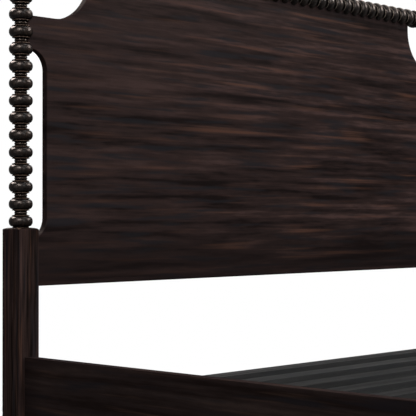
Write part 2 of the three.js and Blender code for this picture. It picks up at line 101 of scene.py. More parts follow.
def srgb(red: int, green: int, blue: int) -> Colour:
    """Turns an sRGB colour of 0 to 255 into linear light.

    Args:
        red: The red value.
        green: The green value.
        blue: The blue value.

    Returns:
        The linear red, green and blue, and an alpha of one.
    """
    shares = np.array([red, green, blue]) / 255
    linear = np.where(shares <= 0.04045, shares / 12.92, ((shares + 0.055) / 1.055) ** 2.4)
    return (*(float(value) for value in linear), 1.0)


def added(name: str, data: bpy.types.ID) -> bpy.types.Object:
    """Adds an object to the scene.

    Args:
        name: Its name.
        data: Its mesh, camera or light.

    Returns:
        The object.
    """
    made = bpy.data.objects.new(name, data)
    bpy.context.scene.collection.objects.link(made)
    return made


def aim(thing: bpy.types.Object, place: Sequence[float], ahead: Vector) -> None:
    """Sets a camera or a lamp at a place, looking ahead."""
    thing.location = place
    thing.rotation_euler = ahead.to_track_quat("-Z", "Y").to_euler()


@dataclass(frozen=True)
class Section:
    """One ring of a loft: a rectangle with round corners, square to the loft's axis.

    A circle is a section whose half sizes and corner radius are all the same. A crowned ring takes
    that share of its loft's crown, which lifts each point by its distance from the axis.
    """

    place: float
    half_width: float
    half_depth: float
    corner: float
    # The wear value lightens a ring towards its finish's rubbed colour: real wear, and a painted highlight as
    # well. The crevice value darkens it with painted shade.
    wear: float = 0.0
    crevice: float = 0.0
    finish: int = 0
    crowned: float = 0.0

    def inset(self, amount: float, place: float, wear: float = 0.0) -> "Section":
        """The same section drawn in all round.

        Args:
            amount: How far each side moves in.
            place: Where the new section lies along the axis.
            wear: How much of the finish's rubbed colour it takes, from 0 to 1: real wear, and a painted
                highlight as well.

        Returns:
            The new section.
        """
        least = 0.0002
        width = max(self.half_width - amount, least)
        depth = max(self.half_depth - amount, least)
        corner = min(max(self.corner - amount, least), width, depth)
        return replace(self, place=place, half_width=width, half_depth=depth, corner=corner, wear=wear)


def circle(place: float, radius: float, wear: float = 0.0, crevice: float = 0.0, finish: int = 0) -> Section:
    """A round section of a radius."""
    return Section(place, radius, radius, radius, wear, crevice, finish)


@dataclass
class Surface:
    """Closed surfaces in numbers, with what their finish reads at each point."""

    points: np.ndarray
    faces: list[tuple[int, ...]]
    # Per point: wear with its painted highlight, and crevice with its painted shade.
    wear: np.ndarray
    crevice: np.ndarray
    finishes: np.ndarray

    @staticmethod
    def joined(surfaces: Sequence["Surface"]) -> "Surface":
        """Several surfaces as one, each left closed.

        Args:
            surfaces: What to join.

        Returns:
            One surface that holds them all.
        """
        starts = np.cumsum([0, *(len(surface.points) for surface in surfaces)])
        faces = []
        for start, surface in zip(starts, surfaces):
            faces += [tuple(number + int(start) for number in face) for face in surface.faces]
        return Surface(
            np.vstack([surface.points for surface in surfaces]),
            faces,
            np.concatenate([surface.wear for surface in surfaces]),
            np.concatenate([surface.crevice for surface in surfaces]),
            np.concatenate([surface.finishes for surface in surfaces]),
        )

    def piece(self, name: str, finishes: Sequence[bpy.types.Material], sharp: float = 50) -> bpy.types.Object:
        """A Blender object of this surface, at the origin.

        Args:
            name: The piece's name.
            finishes: The materials that the faces' finish numbers choose from.
            sharp: Edges that bend by more degrees than this stay sharp.

        Returns:
            The object, linked to the scene.
        """
        mesh = bpy.data.meshes.new(name)
        mesh.from_pydata(self.points.astype(float).tolist(), [], self.faces)
        # The mesh carries both values to the finish: wear with a painted highlight, and painted shade.
        for label, values in (("wear", self.wear), ("crevice", self.crevice)):
            layer = mesh.attributes.new(label, "FLOAT", "POINT")
            layer.data.foreach_set("value", values.astype(np.float32))
        for finish in finishes:
            mesh.materials.append(finish)
        mesh.polygons.foreach_set("material_index", self.finishes.astype(np.int32))
        mesh.shade_smooth()
        mesh.set_sharp_from_angle(angle=math.radians(sharp))
        mesh.update()
        return added(name, mesh)


def tube_faces(rings: int, around: int) -> list[tuple[int, ...]]:
    """The faces of a tube through rings of points, with its two end caps.

    Args:
        rings: How many rings there are.
        around: How many points each ring has, anticlockwise about the tube's way.

    Returns:
        The quads ring by ring, then the first cap and the last.
    """
    ring, spoke = np.meshgrid(np.arange(rings - 1), np.arange(around), indexing="ij")
    here = ring * around + spoke
    beside = ring * around + (spoke + 1) % around
    quads = np.stack([here, beside, beside + around, here + around], axis=-1).reshape(-1, 4)
    first = tuple(range(around - 1, -1, -1))
    last = tuple(range((rings - 1) * around, rings * around))
    return [tuple(quad) for quad in quads.tolist()] + [first, last]


def set_along(
    axis: Axis, centre: Sequence[float], across: np.ndarray, up: np.ndarray, along: np.ndarray
) -> np.ndarray:
    """Points from their three local values, put on the bed's axes and moved to a centre.

    Args:
        axis: The way the local third axis runs.
        centre: The place of the local origin.
        across: The first local values.
        up: The second local values.
        along: The third local values.

    Returns:
        One row of x, y and z for each point.
    """
    main, first, second = axis.value
    points = np.empty((across.size, 3))
    points[:, main] = along.ravel()
    points[:, first] = across.ravel()
    points[:, second] = up.ravel()
    return points + np.array(centre)


def loft(
    axis: Axis,
    centre: Sequence[float],
    sections: Sequence[Section],
    quarter: int,
    crown: Callable[[np.ndarray], np.ndarray] = np.zeros_like,
) -> Surface:
    """A closed surface through sections along an axis.

    A point at angle t of a section is the corner's centre plus the corner's radius times
    (cos t, sin t), and the corner's centre is (half width - radius, half depth - radius) with the
    quarter's signs. The first and last point of each quarter slide along the flats by SUPPORT,
    so that the shading of a flat stays flat. On a circle the angles are even.

    Args:
        axis: The way the sections follow one another.
        centre: The place of the local origin.
        sections: The rings, first to last.
        quarter: Points in a quarter turn.
        crown: How far a crowned ring's points rise at a distance from the axis.

    Returns:
        The surface, closed by a flat cap at each end.
    """
    place, width, depth, radius, wear, crevice, crowned = (
        np.array([getattr(section, part) for section in sections])[:, None]
        for part in ("place", "half_width", "half_depth", "corner", "wear", "crevice", "crowned")
    )
    step = np.tile(np.arange(quarter), 4)
    turn = np.repeat(np.arange(4), quarter)
    tight = np.clip((step - 1) / (quarter - 3), 0, 1)
    even = (step + 0.5) / quarter
    roundness = (radius / np.minimum(width, depth)) ** 4
    share = tight * (1 - roundness) + even * roundness
    angle = (turn + share) * QUARTER_TURN
    first_sign = np.array([1, -1, -1, 1])[turn]
    second_sign = np.array([1, 1, -1, -1])[turn]
    on_first_flat = np.where(turn % 2 == 0, step == quarter - 1, step == 0)
    on_second_flat = np.where(turn % 2 == 0, step == 0, step == quarter - 1)
    across = first_sign * np.maximum(width - radius - SUPPORT * on_first_flat, 0) + radius * np.cos(angle)
    up = second_sign * np.maximum(depth - radius - SUPPORT * on_second_flat, 0) + radius * np.sin(angle)
    along = place + crowned * crown(np.hypot(across, up))
    # Rounded corners take the rubbed colour: real wear, and a painted highlight along the edge.
    edge_wear_and_highlight = (1 - roundness) * np.sin(tight * math.pi)
    finish = np.repeat([section.finish for section in sections[1:]], 4 * quarter)
    return Surface(
        set_along(axis, centre, across, up, along),
        tube_faces(len(sections), 4 * quarter),
        np.maximum(np.broadcast_to(wear, across.shape), edge_wear_and_highlight).ravel(),
        np.broadcast_to(crevice, across.shape).ravel(),
        np.concatenate([finish, [sections[0].finish, sections[-1].finish]]),
    )


def eased_end(section: Section, towards: int, radius: float) -> list[Section]:
    """The rings of a block's end, from the middle of the end's face round its eased edge.

    At angle a the ring is drawn in by radius times (1 - sin a) and lies radius times (1 - cos a)
    inside the end. A ring on each side of the round keeps the flats flat.

    Args:
        section: The full section, placed at the very end.
        towards: 1 where the block goes on to higher places, -1 where it goes on to lower ones.
        radius: The radius of the eased edge.

    Returns:
        The rings, first the ones nearest the end.
    """
    angles = np.linspace(0, QUARTER_TURN, 5)
    rings = [section.inset(radius + SUPPORT, section.place)]
    # The middle of the round takes the rubbed colour: real wear, and a painted highlight along the edge.
    for angle in angles:
        drawn_in = radius * (1 - math.sin(angle))
        inside = section.place + towards * radius * (1 - math.cos(angle))
        rings.append(section.inset(drawn_in, inside, wear=math.sin(2 * angle)))
    rings.append(replace(section, place=section.place + towards * (radius + SUPPORT), wear=0.0))
    return rings


def mirrored(sections: Sequence[Section]) -> list[Section]:
    """The same sections on the other side of the local origin, in the same way along the axis."""
    return [replace(section, place=-section.place) for section in reversed(sections)]


def upright(low: Vector, high: Vector, height: float = 0.0) -> Vector:
    """The point at a height on the upright axis through a box's middle."""
    return Vector(((low.x + high.x) / 2, (low.y + high.y) / 2, height))


def board(axis: Axis, low: Vector, high: Vector, edge: float, quarter: int = 6) -> Surface:
    """A straight board between two corners of a box, all its edges eased.

    Args:
        axis: The way the board runs.
        low: The box's lowest corner.
        high: The box's highest corner.
        edge: The radius of the eased edges.
        quarter: Points in a quarter turn of its section.

    Returns:
        The board's surface.
    """
    main, first, second = axis.value
    centre, half = (low + high) / 2, (high - low) / 2
    ends = [
        eased_end(Section(towards * -half[main], half[first], half[second], edge), towards, edge)
        for towards in (1, -1)
    ]
    return loft(axis, centre, ends[0] + ends[1][::-1], quarter)


def waved(centre: Sequence[float], rows: np.ndarray, waves: int, pitch: float, around: int) -> Surface:
    """An upright round piece whose radius waves about its axis.

    At height z and angle t the radius is r + a cos(n t - 2 pi z / pitch): flutes where the pitch is
    endless, and a thread where n is one.

    Args:
        centre: The place of the local origin.
        rows: The height z, the radius r and the wave's height a of each ring, from the bottom up.
        waves: The count n of waves in a turn.
        pitch: How far a wave climbs in a turn.
        around: Points in a ring.

    Returns:
        The surface, closed by a flat cap at each end.
    """
    height, radius, wave = (rows[:, [column]] for column in range(3))
    turn = np.linspace(0, 4 * QUARTER_TURN, around, endpoint=False)
    reach = radius + wave * np.cos(waves * turn - 4 * QUARTER_TURN * height / pitch)
    across, up = reach * np.cos(turn), reach * np.sin(turn)
    count = len(rows) * around
    faces = tube_faces(len(rows), around)
    return Surface(
        set_along(Axis.Z, centre, across, up, np.broadcast_to(height, across.shape)),
        faces,
        np.zeros(count),
        np.zeros(count),
        np.zeros(len(faces)),
    )


class Tree:
    """A node tree, built by short calls. Each call gives back an output to join on."""

    def __init__(self, owner: bpy.types.Material | bpy.types.World) -> None:
        """Starts an empty tree.

        Args:
            owner: The material or the world that it belongs to.
        """
        self.owner = owner
        self.owner.use_nodes = True
        self.tree = self.owner.node_tree
        self.tree.nodes.clear()

    def node(self, kind: str, inputs: dict, **settings: object) -> bpy.types.Node:
        """Adds a node.

        Args:
            kind: The node's type.
            inputs: What goes into its inputs, by name or number: an output or a constant.
            **settings: The node's own settings.

        Returns:
            The node.
        """
        made = self.tree.nodes.new(kind)
        for label, value in settings.items():
            setattr(made, label, value)
        for key, value in inputs.items():
            if isinstance(value, Socket):
                self.tree.links.new(value, made.inputs[key])
            else:
                made.inputs[key].default_value = value
        return made

    def place(self) -> Socket:
        """The point on the piece, in metres."""
        return self.node("ShaderNodeTexCoord", {}).outputs["Object"]

    def reading(self, label: str) -> Socket:
        """The value of a mesh attribute."""
        return self.node("ShaderNodeAttribute", {}, attribute_name=label).outputs["Fac"]

    def noise(
        self,
        place: Socket,
        rates: Sequence[float],
        detail: float = 2,
        roughness: float = 0.5,
        output: int = 0,
    ) -> Socket:
        """A noise read at the place times the rates, where its features are about one unit across.

        Args:
            place: The place on the piece.
            rates: The scale on each axis.
            detail: How many finer layers it has.
            roughness: How strong the finer layers are.
            output: 0 for its value, and 1 for its colour.

        Returns:
            The noise.
        """
        scaled = self.node("ShaderNodeVectorMath", {0: place, 1: tuple(rates)}, operation="MULTIPLY")
        inputs = {"Vector": scaled.outputs[0], "Scale": 1.0, "Detail": detail, "Roughness": roughness}
        return self.node("ShaderNodeTexNoise", inputs).outputs[output]

    def between(self, value: Socket, low: float, high: float, start: float = 0.0, end: float = 1.0) -> Socket:
        """A smooth step of a value: start at and below low, and end at and above high."""
        settings = {0: value, 1: low, 2: high, 3: start, 4: end}
        return self.node("ShaderNodeMapRange", settings, interpolation_type="SMOOTHSTEP").outputs[0]

    def maths(self, operation: str, first: object, second: object) -> Socket:
        """Two values put together by a Math node, kept between 0 and 1."""
        made = self.node("ShaderNodeMath", {0: first, 1: second}, operation=operation, use_clamp=True)
        return made.outputs[0]

    def times(self, first: object, second: object) -> Socket:
        """The product of two values, kept between 0 and 1."""
        return self.maths("MULTIPLY", first, second)

    def mix(self, share: object, first: object, second: object) -> Socket:
        """A colour between two, by a share."""
        inputs = {0: share, 6: first, 7: second}
        return self.node("ShaderNodeMix", inputs, data_type="RGBA").outputs[2]

    def bump(self, height: Socket, depth: float) -> Socket:
        """A normal from a height of 0 to 1, over a depth in metres."""
        inputs = {"Height": height, "Distance": depth, "Strength": 1.0}
        return self.node("ShaderNodeBump", inputs).outputs[0]

    def finish(self, inputs: dict) -> bpy.types.Material:
        """Ends the tree in a Principled shader.

        Args:
            inputs: What goes into the shader's inputs.

        Returns:
            The material.
        """
        shader = self.node("ShaderNodeBsdfPrincipled", inputs)
        self.node("ShaderNodeOutputMaterial", {0: shader.outputs[0]})
        return self.owner

    def seen(self) -> tuple[Socket, Socket]:
        """Tells the rays that show a surface from the rays that it only lights.

        Returns:
            One for rays from the camera, mirrors and glass, and one for diffuse rays.
        """
        path = self.node("ShaderNodeLightPath", {}).outputs
        seen = self.maths("MAXIMUM", path["Is Camera Ray"], path["Is Glossy Ray"])
        return self.maths("MAXIMUM", seen, path["Is Transmission Ray"]), path["Is Diffuse Ray"]


@dataclass(frozen=True)
class Figure:
    """The length and the width of a feature of the grain, in metres."""

    length: float
    width: float

    def scale(self, grain: Axis) -> list[float]:
        """How often it repeats in a metre along each axis.

        Args:
            grain: The way the grain runs.

        Returns:
            The rate along X, Y and Z.
        """
        rates = [1 / self.width] * 3
        rates[grain.value[0]] = 1 / self.length
        return rates


@dataclass(frozen=True)
class WoodFinish:
    """Stained wood under a thin finish: long streaks, cool and warm ones, pores, lighter edges from rubbing
    that also paint a highlight, and painted shade in hollows.

    A range is where a noise, or the tone, takes its effect from nothing to full. A share is how
    much of a colour shows at full effect.
    """

    name: str
    deep: Colour
    plain: Colour
    light: Colour
    cool: Colour
    warm: Colour
    # The colour of rubbed edges: real wear, and a painted highlight as well.
    worn_and_lit: Colour
    bands: Figure = Figure(1.2, 0.095)
    streaks: Figure = Figure(0.20, 0.0115)
    fibres: Figure = Figure(0.09, 0.0042)
    cool_figure: Figure = Figure(0.13, 0.020)
    warm_figure: Figure = Figure(0.20, 0.0125)
    pores: Figure = Figure(0.006, 0.0005)
    drift: Figure = Figure(0.35, 0.12)
    wave: float = 0.008
    band_range: Span = (0.32, 0.68)
    streak_range: Span = (0.30, 0.70)
    fibre_range: Span = (0.28, 0.72)
    tone_shares: tuple[float, float, float] = (0.24, 0.46, 0.30)
    plain_range: Span = (0.12, 0.55)
    light_range: Span = (0.50, 0.92)
    cool_range: Span = (0.53, 0.68)
    cool_share: float = 0.75
    warm_range: Span = (0.57, 0.72)
    warm_share: float = 0.75
    pore_range: Span = (0.60, 0.72)
    pore_shade: Colour = srgb(8, 6, 6)
    pore_share: float = 0.35
    # Where the streaks let the rubbed colour and its painted highlight show.
    rub_and_highlight_range: Span = (0.3, 0.6)
    faintest_rub_and_highlight: float = 0.35
    wear_share: float = 0.5
    # Painted shade: the colour that hollows, grooves, bores and seams darken towards by the crevice value,
    # and how far.
    crevice_shade: Colour = srgb(9, 7, 6)
    crevice_shade_share: float = 0.85
    rough: float = 0.5
    rough_spread: Span = (-0.07, 0.10)
    polish: float = 0.06
    coat: float = 0.008
    # How much of the coat stays in hollows: painted shade on the reflections there.
    coat_in_crevice: float = 0.08
    coat_rough: float = 0.40
    relief: float = 0.0003
    tone_rise: float = 0.6
    pore_dip: float = 0.5

    def material(self, grain: Axis) -> bpy.types.Material:
        """The finish with its grain along an axis, made once.

        Args:
            grain: The way the grain runs.

        Returns:
            The material.
        """
        name = f"{self.name}_{grain.name.lower()}"
        if name in bpy.data.materials:
            return bpy.data.materials[name]
        tree = Tree(bpy.data.materials.new(name))
        place = self.wandering(tree, grain)
        bands = tree.noise(place, self.bands.scale(grain))
        streaks = tree.noise(place, self.streaks.scale(grain), 3, 0.55)
        fibres = tree.noise(place, self.fibres.scale(grain))
        cool = tree.noise(place, self.cool_figure.scale(grain))
        warm = tree.noise(place, self.warm_figure.scale(grain), 2, 0.6)
        pores = tree.noise(place, self.pores.scale(grain), 1)
        tone = self.tone(tree, bands, streaks, fibres)
        pore = tree.between(pores, *self.pore_range)
        shade = self.colour(tree, place, tone, cool, warm, pore)
        # The deepest colour where a board has more of it: the headboard's darker bottom, and its painted
        # shadow under the top rail.
        shade = tree.mix(self.dark_wood(tree, place, bands), shade, self.deep)
        wear, crevice = tree.reading("wear"), tree.reading("crevice")
        # Rubbed edges lighter: real wear, and a painted highlight as well.
        rubbed_and_lit = tree.times(wear, tree.between(streaks, *self.rub_and_highlight_range, self.faintest_rub_and_highlight, 1.0))
        shade = tree.mix(tree.times(rubbed_and_lit, self.wear_share), shade, self.worn_and_lit)
        # Painted shade in hollows, grooves and bores, by the crevice value.
        shade = tree.mix(tree.times(crevice, self.crevice_shade_share), shade, self.crevice_shade)
        smoothest, roughest = (self.rough + change for change in self.rough_spread)
        rough = tree.between(fibres, 0.25, 0.75, smoothest, roughest)
        rough = tree.maths("SUBTRACT", rough, tree.times(wear, self.polish))
        # Less coat in hollows: painted shade on their reflections.
        coat = tree.between(crevice, 0.1, 0.9, self.coat, self.coat_in_crevice * self.coat)
        height = tree.maths("SUBTRACT", tree.times(tone, self.tone_rise), tree.times(pore, self.pore_dip))
        normal = tree.bump(height, self.relief)
        return tree.finish({
            "Base Color": shade,
            "Roughness": rough,
            "Specular IOR Level": 0.0,
            "Coat Weight": coat,
            "Coat Roughness": self.coat_rough,
            "Normal": normal,
            "Coat Normal": normal,
        })

    def wandering(self, tree: Tree, grain: Axis) -> Socket:
        """The place on the piece, shifted a little across the grain so that streaks wander.

        Args:
            tree: The material's tree.
            grain: The way the grain runs.

        Returns:
            The shifted place.
        """
        place = tree.place()
        drift = tree.noise(place, self.drift.scale(grain), 1, output=1)
        reach = [self.wave] * 3
        reach[grain.value[0]] = 0.0
        inputs = {0: drift, 1: tuple(reach), 2: place}
        return tree.node("ShaderNodeVectorMath", inputs, operation="MULTIPLY_ADD").outputs[0]

    def dark_wood(self, tree: Tree, place: Socket, bands: Socket) -> object:
        """The share of the deepest colour over the figure: none, unless a board is darker at its edges:
        below, and in a painted shadow under a rail.
        """
        return 0.0

    def boldness(self, tree: Tree, place: Socket, share: Socket) -> object:
        """A streak's share as the board shows it: here in full."""
        return share

    def tone(self, tree: Tree, bands: Socket, streaks: Socket, fibres: Socket) -> Socket:
        """How light the wood is: so much from bands, from streaks and from fibres.

        Args:
            tree: The material's tree.
            bands: The noise of the broad bands.
            streaks: The noise of the streaks.
            fibres: The noise of the fibres.

        Returns:
            The tone, from 0 to 1.
        """
        coarse = tree.times(tree.between(bands, *self.band_range), self.tone_shares[0])
        middle = tree.times(tree.between(streaks, *self.streak_range), self.tone_shares[1])
        fine = tree.times(tree.between(fibres, *self.fibre_range), self.tone_shares[2])
        return tree.maths("ADD", tree.maths("ADD", coarse, middle), fine)

    def colour(
        self, tree: Tree, place: Socket, tone: Socket, cool: Socket, warm: Socket, pore: Socket
    ) -> Socket:
        """The wood's colour: deep to light by its tone, then cool patches, warm streaks and pores.

        Args:
            tree: The material's tree.
            place: The place on the piece.
            tone: How light the wood is.
            cool: The noise of the cool patches.
            warm: The noise of the warm streaks.
            pore: 1 in a pore, and 0 beside it.

        Returns:
            The colour.
        """
        shade = tree.mix(tree.between(tone, *self.plain_range), self.deep, self.plain)
        light_share = self.boldness(tree, place, tree.between(tone, *self.light_range))
        shade = tree.mix(light_share, shade, self.light)
        cool_share = tree.times(tree.between(cool, *self.cool_range), self.cool_share)
        shade = tree.mix(cool_share, shade, self.cool)
        warm_share = tree.times(tree.between(warm, *self.warm_range), self.warm_share)
        shade = tree.mix(self.boldness(tree, place, warm_share), shade, self.warm)
        return tree.mix(tree.times(pore, self.pore_share), shade, self.pore_shade)


@dataclass(frozen=True)
class HeadboardFinish(WoodFinish):
    """The headboard's wood: bolder streaks to the right, darker below, and a painted shadow in the seam under
    the top rail.

    The ranges here are places on the board, in metres.
    """

    bold_range: Span = (-1.0, 0.40)
    faintest: float = 0.35
    low_range: Span = (0.66, 0.82)
    low_share: float = 0.6
    low_waver: float = 0.12
    # The painted shadow in the seam under the top rail: where it lies, and how dark.
    seam_shadow_range: Span = (1.416, 1.424)
    seam_shadow_share: float = 0.85

    def dark_wood(self, tree: Tree, place: Socket, bands: Socket) -> object:
        """The share of the deepest colour: in a strip with an uneven edge below, and as a painted shadow in
        the seam under the top rail.

        Args:
            tree: The material's tree.
            place: The place on the board.
            bands: The noise of the broad bands, which shifts the strip's edge.

        Returns:
            The share, from 0 to 1.
        """
        height = tree.node("ShaderNodeSeparateXYZ", {0: place}).outputs[2]
        uneven = tree.maths("ADD", height, tree.times(bands, self.low_waver))
        low = tree.between(uneven, *self.low_range, self.low_share, 0.0)
        # Adds the painted shadow in the seam under the top rail.
        return tree.maths("ADD", low, tree.between(height, *self.seam_shadow_range, 0.0, self.seam_shadow_share))

    def boldness(self, tree: Tree, place: Socket, share: Socket) -> object:
        """A streak's share, less of it to the left: the share times faintest to 1 over bold_range."""
        across = tree.node("ShaderNodeSeparateXYZ", {0: place}).outputs[0]
        return tree.times(share, tree.between(across, *self.bold_range, self.faintest, 1.0))


@dataclass(frozen=True)
class SteelFinish:
    """Zinc-plated or blackened steel with fine brushing and a few darker spots."""

    name: str
    bright: Colour
    dull: Colour
    rough: float = 0.38
    brushing: Figure = Figure(0.02, 0.0006)
    spotting: Figure = Figure(0.012, 0.012)

    def material(self) -> bpy.types.Material:
        """The finish, made once.

        Returns:
            The material.
        """
        if self.name in bpy.data.materials:
            return bpy.data.materials[self.name]
        tree = Tree(bpy.data.materials.new(self.name))
        place = tree.place()
        brushed = tree.noise(place, self.brushing.scale(Axis.Z))
        spots = tree.noise(place, self.spotting.scale(Axis.Z), 4, 0.6)
        rough = tree.between(spots, 0.3, 0.7, self.rough - 0.08, self.rough + 0.15)
        return tree.finish({
            "Base Color": tree.mix(tree.between(spots, 0.35, 0.65), self.bright, self.dull),
            "Roughness": rough,
            "Metallic": 1.0,
            "Normal": tree.bump(brushed, 0.00004),
        })


@dataclass(frozen=True)
class PlasticFinish:
    """Moulded black plastic with a fine spark-eroded grain."""

    name: str
    body: Colour
    scuffed: Colour
    rough: float = 0.55
    grain_rate: float = 2500.0
    scuff_rate: float = 110.0

    def material(self) -> bpy.types.Material:
        """The finish, made once.

        Returns:
            The material.
        """
        if self.name in bpy.data.materials:
            return bpy.data.materials[self.name]
        tree = Tree(bpy.data.materials.new(self.name))
        place = tree.place()
        grain = tree.noise(place, [self.grain_rate] * 3)
        scuffs = tree.noise(place, [self.scuff_rate] * 3, 4, 0.65)
        return tree.finish({
            "Base Color": tree.mix(tree.between(scuffs, 0.52, 0.75), self.body, self.scuffed),
            "Roughness": tree.between(grain, 0.3, 0.7, self.rough - 0.08, self.rough + 0.08),
            "Specular IOR Level": 0.3,
            "Normal": tree.bump(grain, 0.00005),
        })


EBONY = WoodFinish(
    "ebony",
    deep=srgb(20, 15, 15),
    plain=srgb(39, 30, 29),
    light=srgb(58, 44, 42),
    cool=srgb(27, 27, 30),
    warm=srgb(70, 48, 38),
    worn_and_lit=srgb(56, 37, 32),
    bands=Figure(1.6, 0.070),
    streaks=Figure(0.36, 0.020),
    fibres=Figure(0.05, 0.008),
    cool_figure=Figure(0.24, 0.018),
    warm_figure=Figure(0.55, 0.020),
    warm_range=(0.55, 0.76),
    tone_shares=(0.34, 0.54, 0.12),
)
HEADBOARD_WOOD = replace(
    HeadboardFinish(**vars(EBONY)),
    name="ebony_headboard",
    light=srgb(63, 48, 45),
    warm=srgb(80, 54, 42),
)
POST_WOOD = replace(
    EBONY,
    name="ebony_post",
    deep=srgb(16, 12, 11),
    plain=srgb(41, 31, 29),
    light=srgb(66, 50, 46),
    bands=Figure(0.7, 0.040),
    streaks=Figure(0.28, 0.0100),
    fibres=Figure(0.09, 0.0042),
    cool_figure=Figure(0.30, 0.0120),
    warm_figure=Figure(0.30, 0.0090),
    warm_range=(0.56, 0.72),
    tone_shares=(0.22, 0.50, 0.28),
    wave=0.004,
)
RAIL_WOOD = replace(
    EBONY,
    name="ebony_rail",
    deep=srgb(28, 21, 20),
    plain=srgb(39, 31, 30),
    light=srgb(53, 43, 40),
    cool=srgb(29, 27, 30),
    warm=srgb(60, 45, 39),
    bands=Figure(1.4, 0.060),
    streaks=Figure(0.50, 0.0180),
    cool_figure=Figure(0.30, 0.0200),
    warm_figure=Figure(0.35, 0.0110),
    tone_shares=(0.34, 0.52, 0.14),
    worn_and_lit=srgb(46, 33, 29),
    wear_share=0.25,
    coat=0.004,
    wave=0.014,
)
TURNED_WOOD = replace(
    EBONY,
    name="ebony_turned",
    deep=srgb(5, 4, 4),
    plain=srgb(14, 11, 10),
    light=srgb(26, 21, 18),
    cool=srgb(11, 11, 12),
    warm=srgb(42, 31, 25),
    # Its rubbed colour, strong on the fillets and crests: real wear, and a painted highlight as well.
    worn_and_lit=srgb(88, 70, 58),
    warm_range=(0.57, 0.72),
    tone_shares=(0.24, 0.46, 0.30),
    wear_share=0.8,
    streaks=Figure(0.060, 0.0060),
    fibres=Figure(0.030, 0.0022),
    cool_figure=Figure(0.040, 0.0080),
    warm_figure=Figure(0.040, 0.0050),
    wave=0.003,
    rough=0.26,
    coat=0.10,
    coat_rough=0.27,
    relief=0.00010,
)
# The top rail's turned wood has a much paler rubbed colour: a painted highlight on its fillets as well as
# their wear.
TOP_RAIL_WOOD = replace(TURNED_WOOD, name="ebony_top_rail", worn_and_lit=srgb(122, 112, 103))
BEAM_WOOD = replace(
    EBONY,
    name="dark_support_wood",
    deep=srgb(29, 26, 25),
    plain=srgb(42, 38, 36),
    light=srgb(56, 51, 47),
    cool=srgb(30, 31, 33),
    warm=srgb(60, 50, 43),
    worn_and_lit=srgb(70, 62, 55),
    rough=0.62,
    relief=0.0005,
)
SLAT_WOOD = replace(
    EBONY,
    name="black_slat_paint",
    deep=srgb(38, 38, 38),
    plain=srgb(44, 44, 44),
    light=srgb(51, 51, 51),
    cool=srgb(40, 41, 42),
    warm=srgb(48, 47, 46),
    worn_and_lit=srgb(58, 58, 57),
    rough=0.6,
    coat=0.009,
    coat_rough=0.50,
)
STEEL = SteelFinish("zinc_steel", srgb(150, 152, 156), srgb(112, 114, 118))
BLACK_STEEL = SteelFinish("blackened_steel", srgb(62, 63, 66), srgb(44, 45, 47), rough=0.42)
PLASTIC = PlasticFinish("moulded_plastic", srgb(24, 24, 24), srgb(38, 38, 38))


def fit(piece: bpy.types.Object, slot: Slot, *nodes: str, body: str = "frame") -> None:
    """Sets a piece on its body, hides the nodes that it stands for and logs them.

    Args:
        piece: The piece.
        slot: The record's material slot; not used.
        *nodes: The solids that it replaces.
        body: The body that it rides on.
    """
    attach(piece, body)
    if nodes:
        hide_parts(*nodes)
    LOG.info("%s: %d faces, for %s", piece.name, len(piece.data.polygons), ", ".join(nodes) or "no node")


def refine(node: str, surface: Surface, slot: Slot, *finishes: bpy.types.Material) -> None:
    """Makes a surface the fine piece of one node of the frame's body."""
    fit(surface.piece(f"{node}_fine", finishes), slot, node)


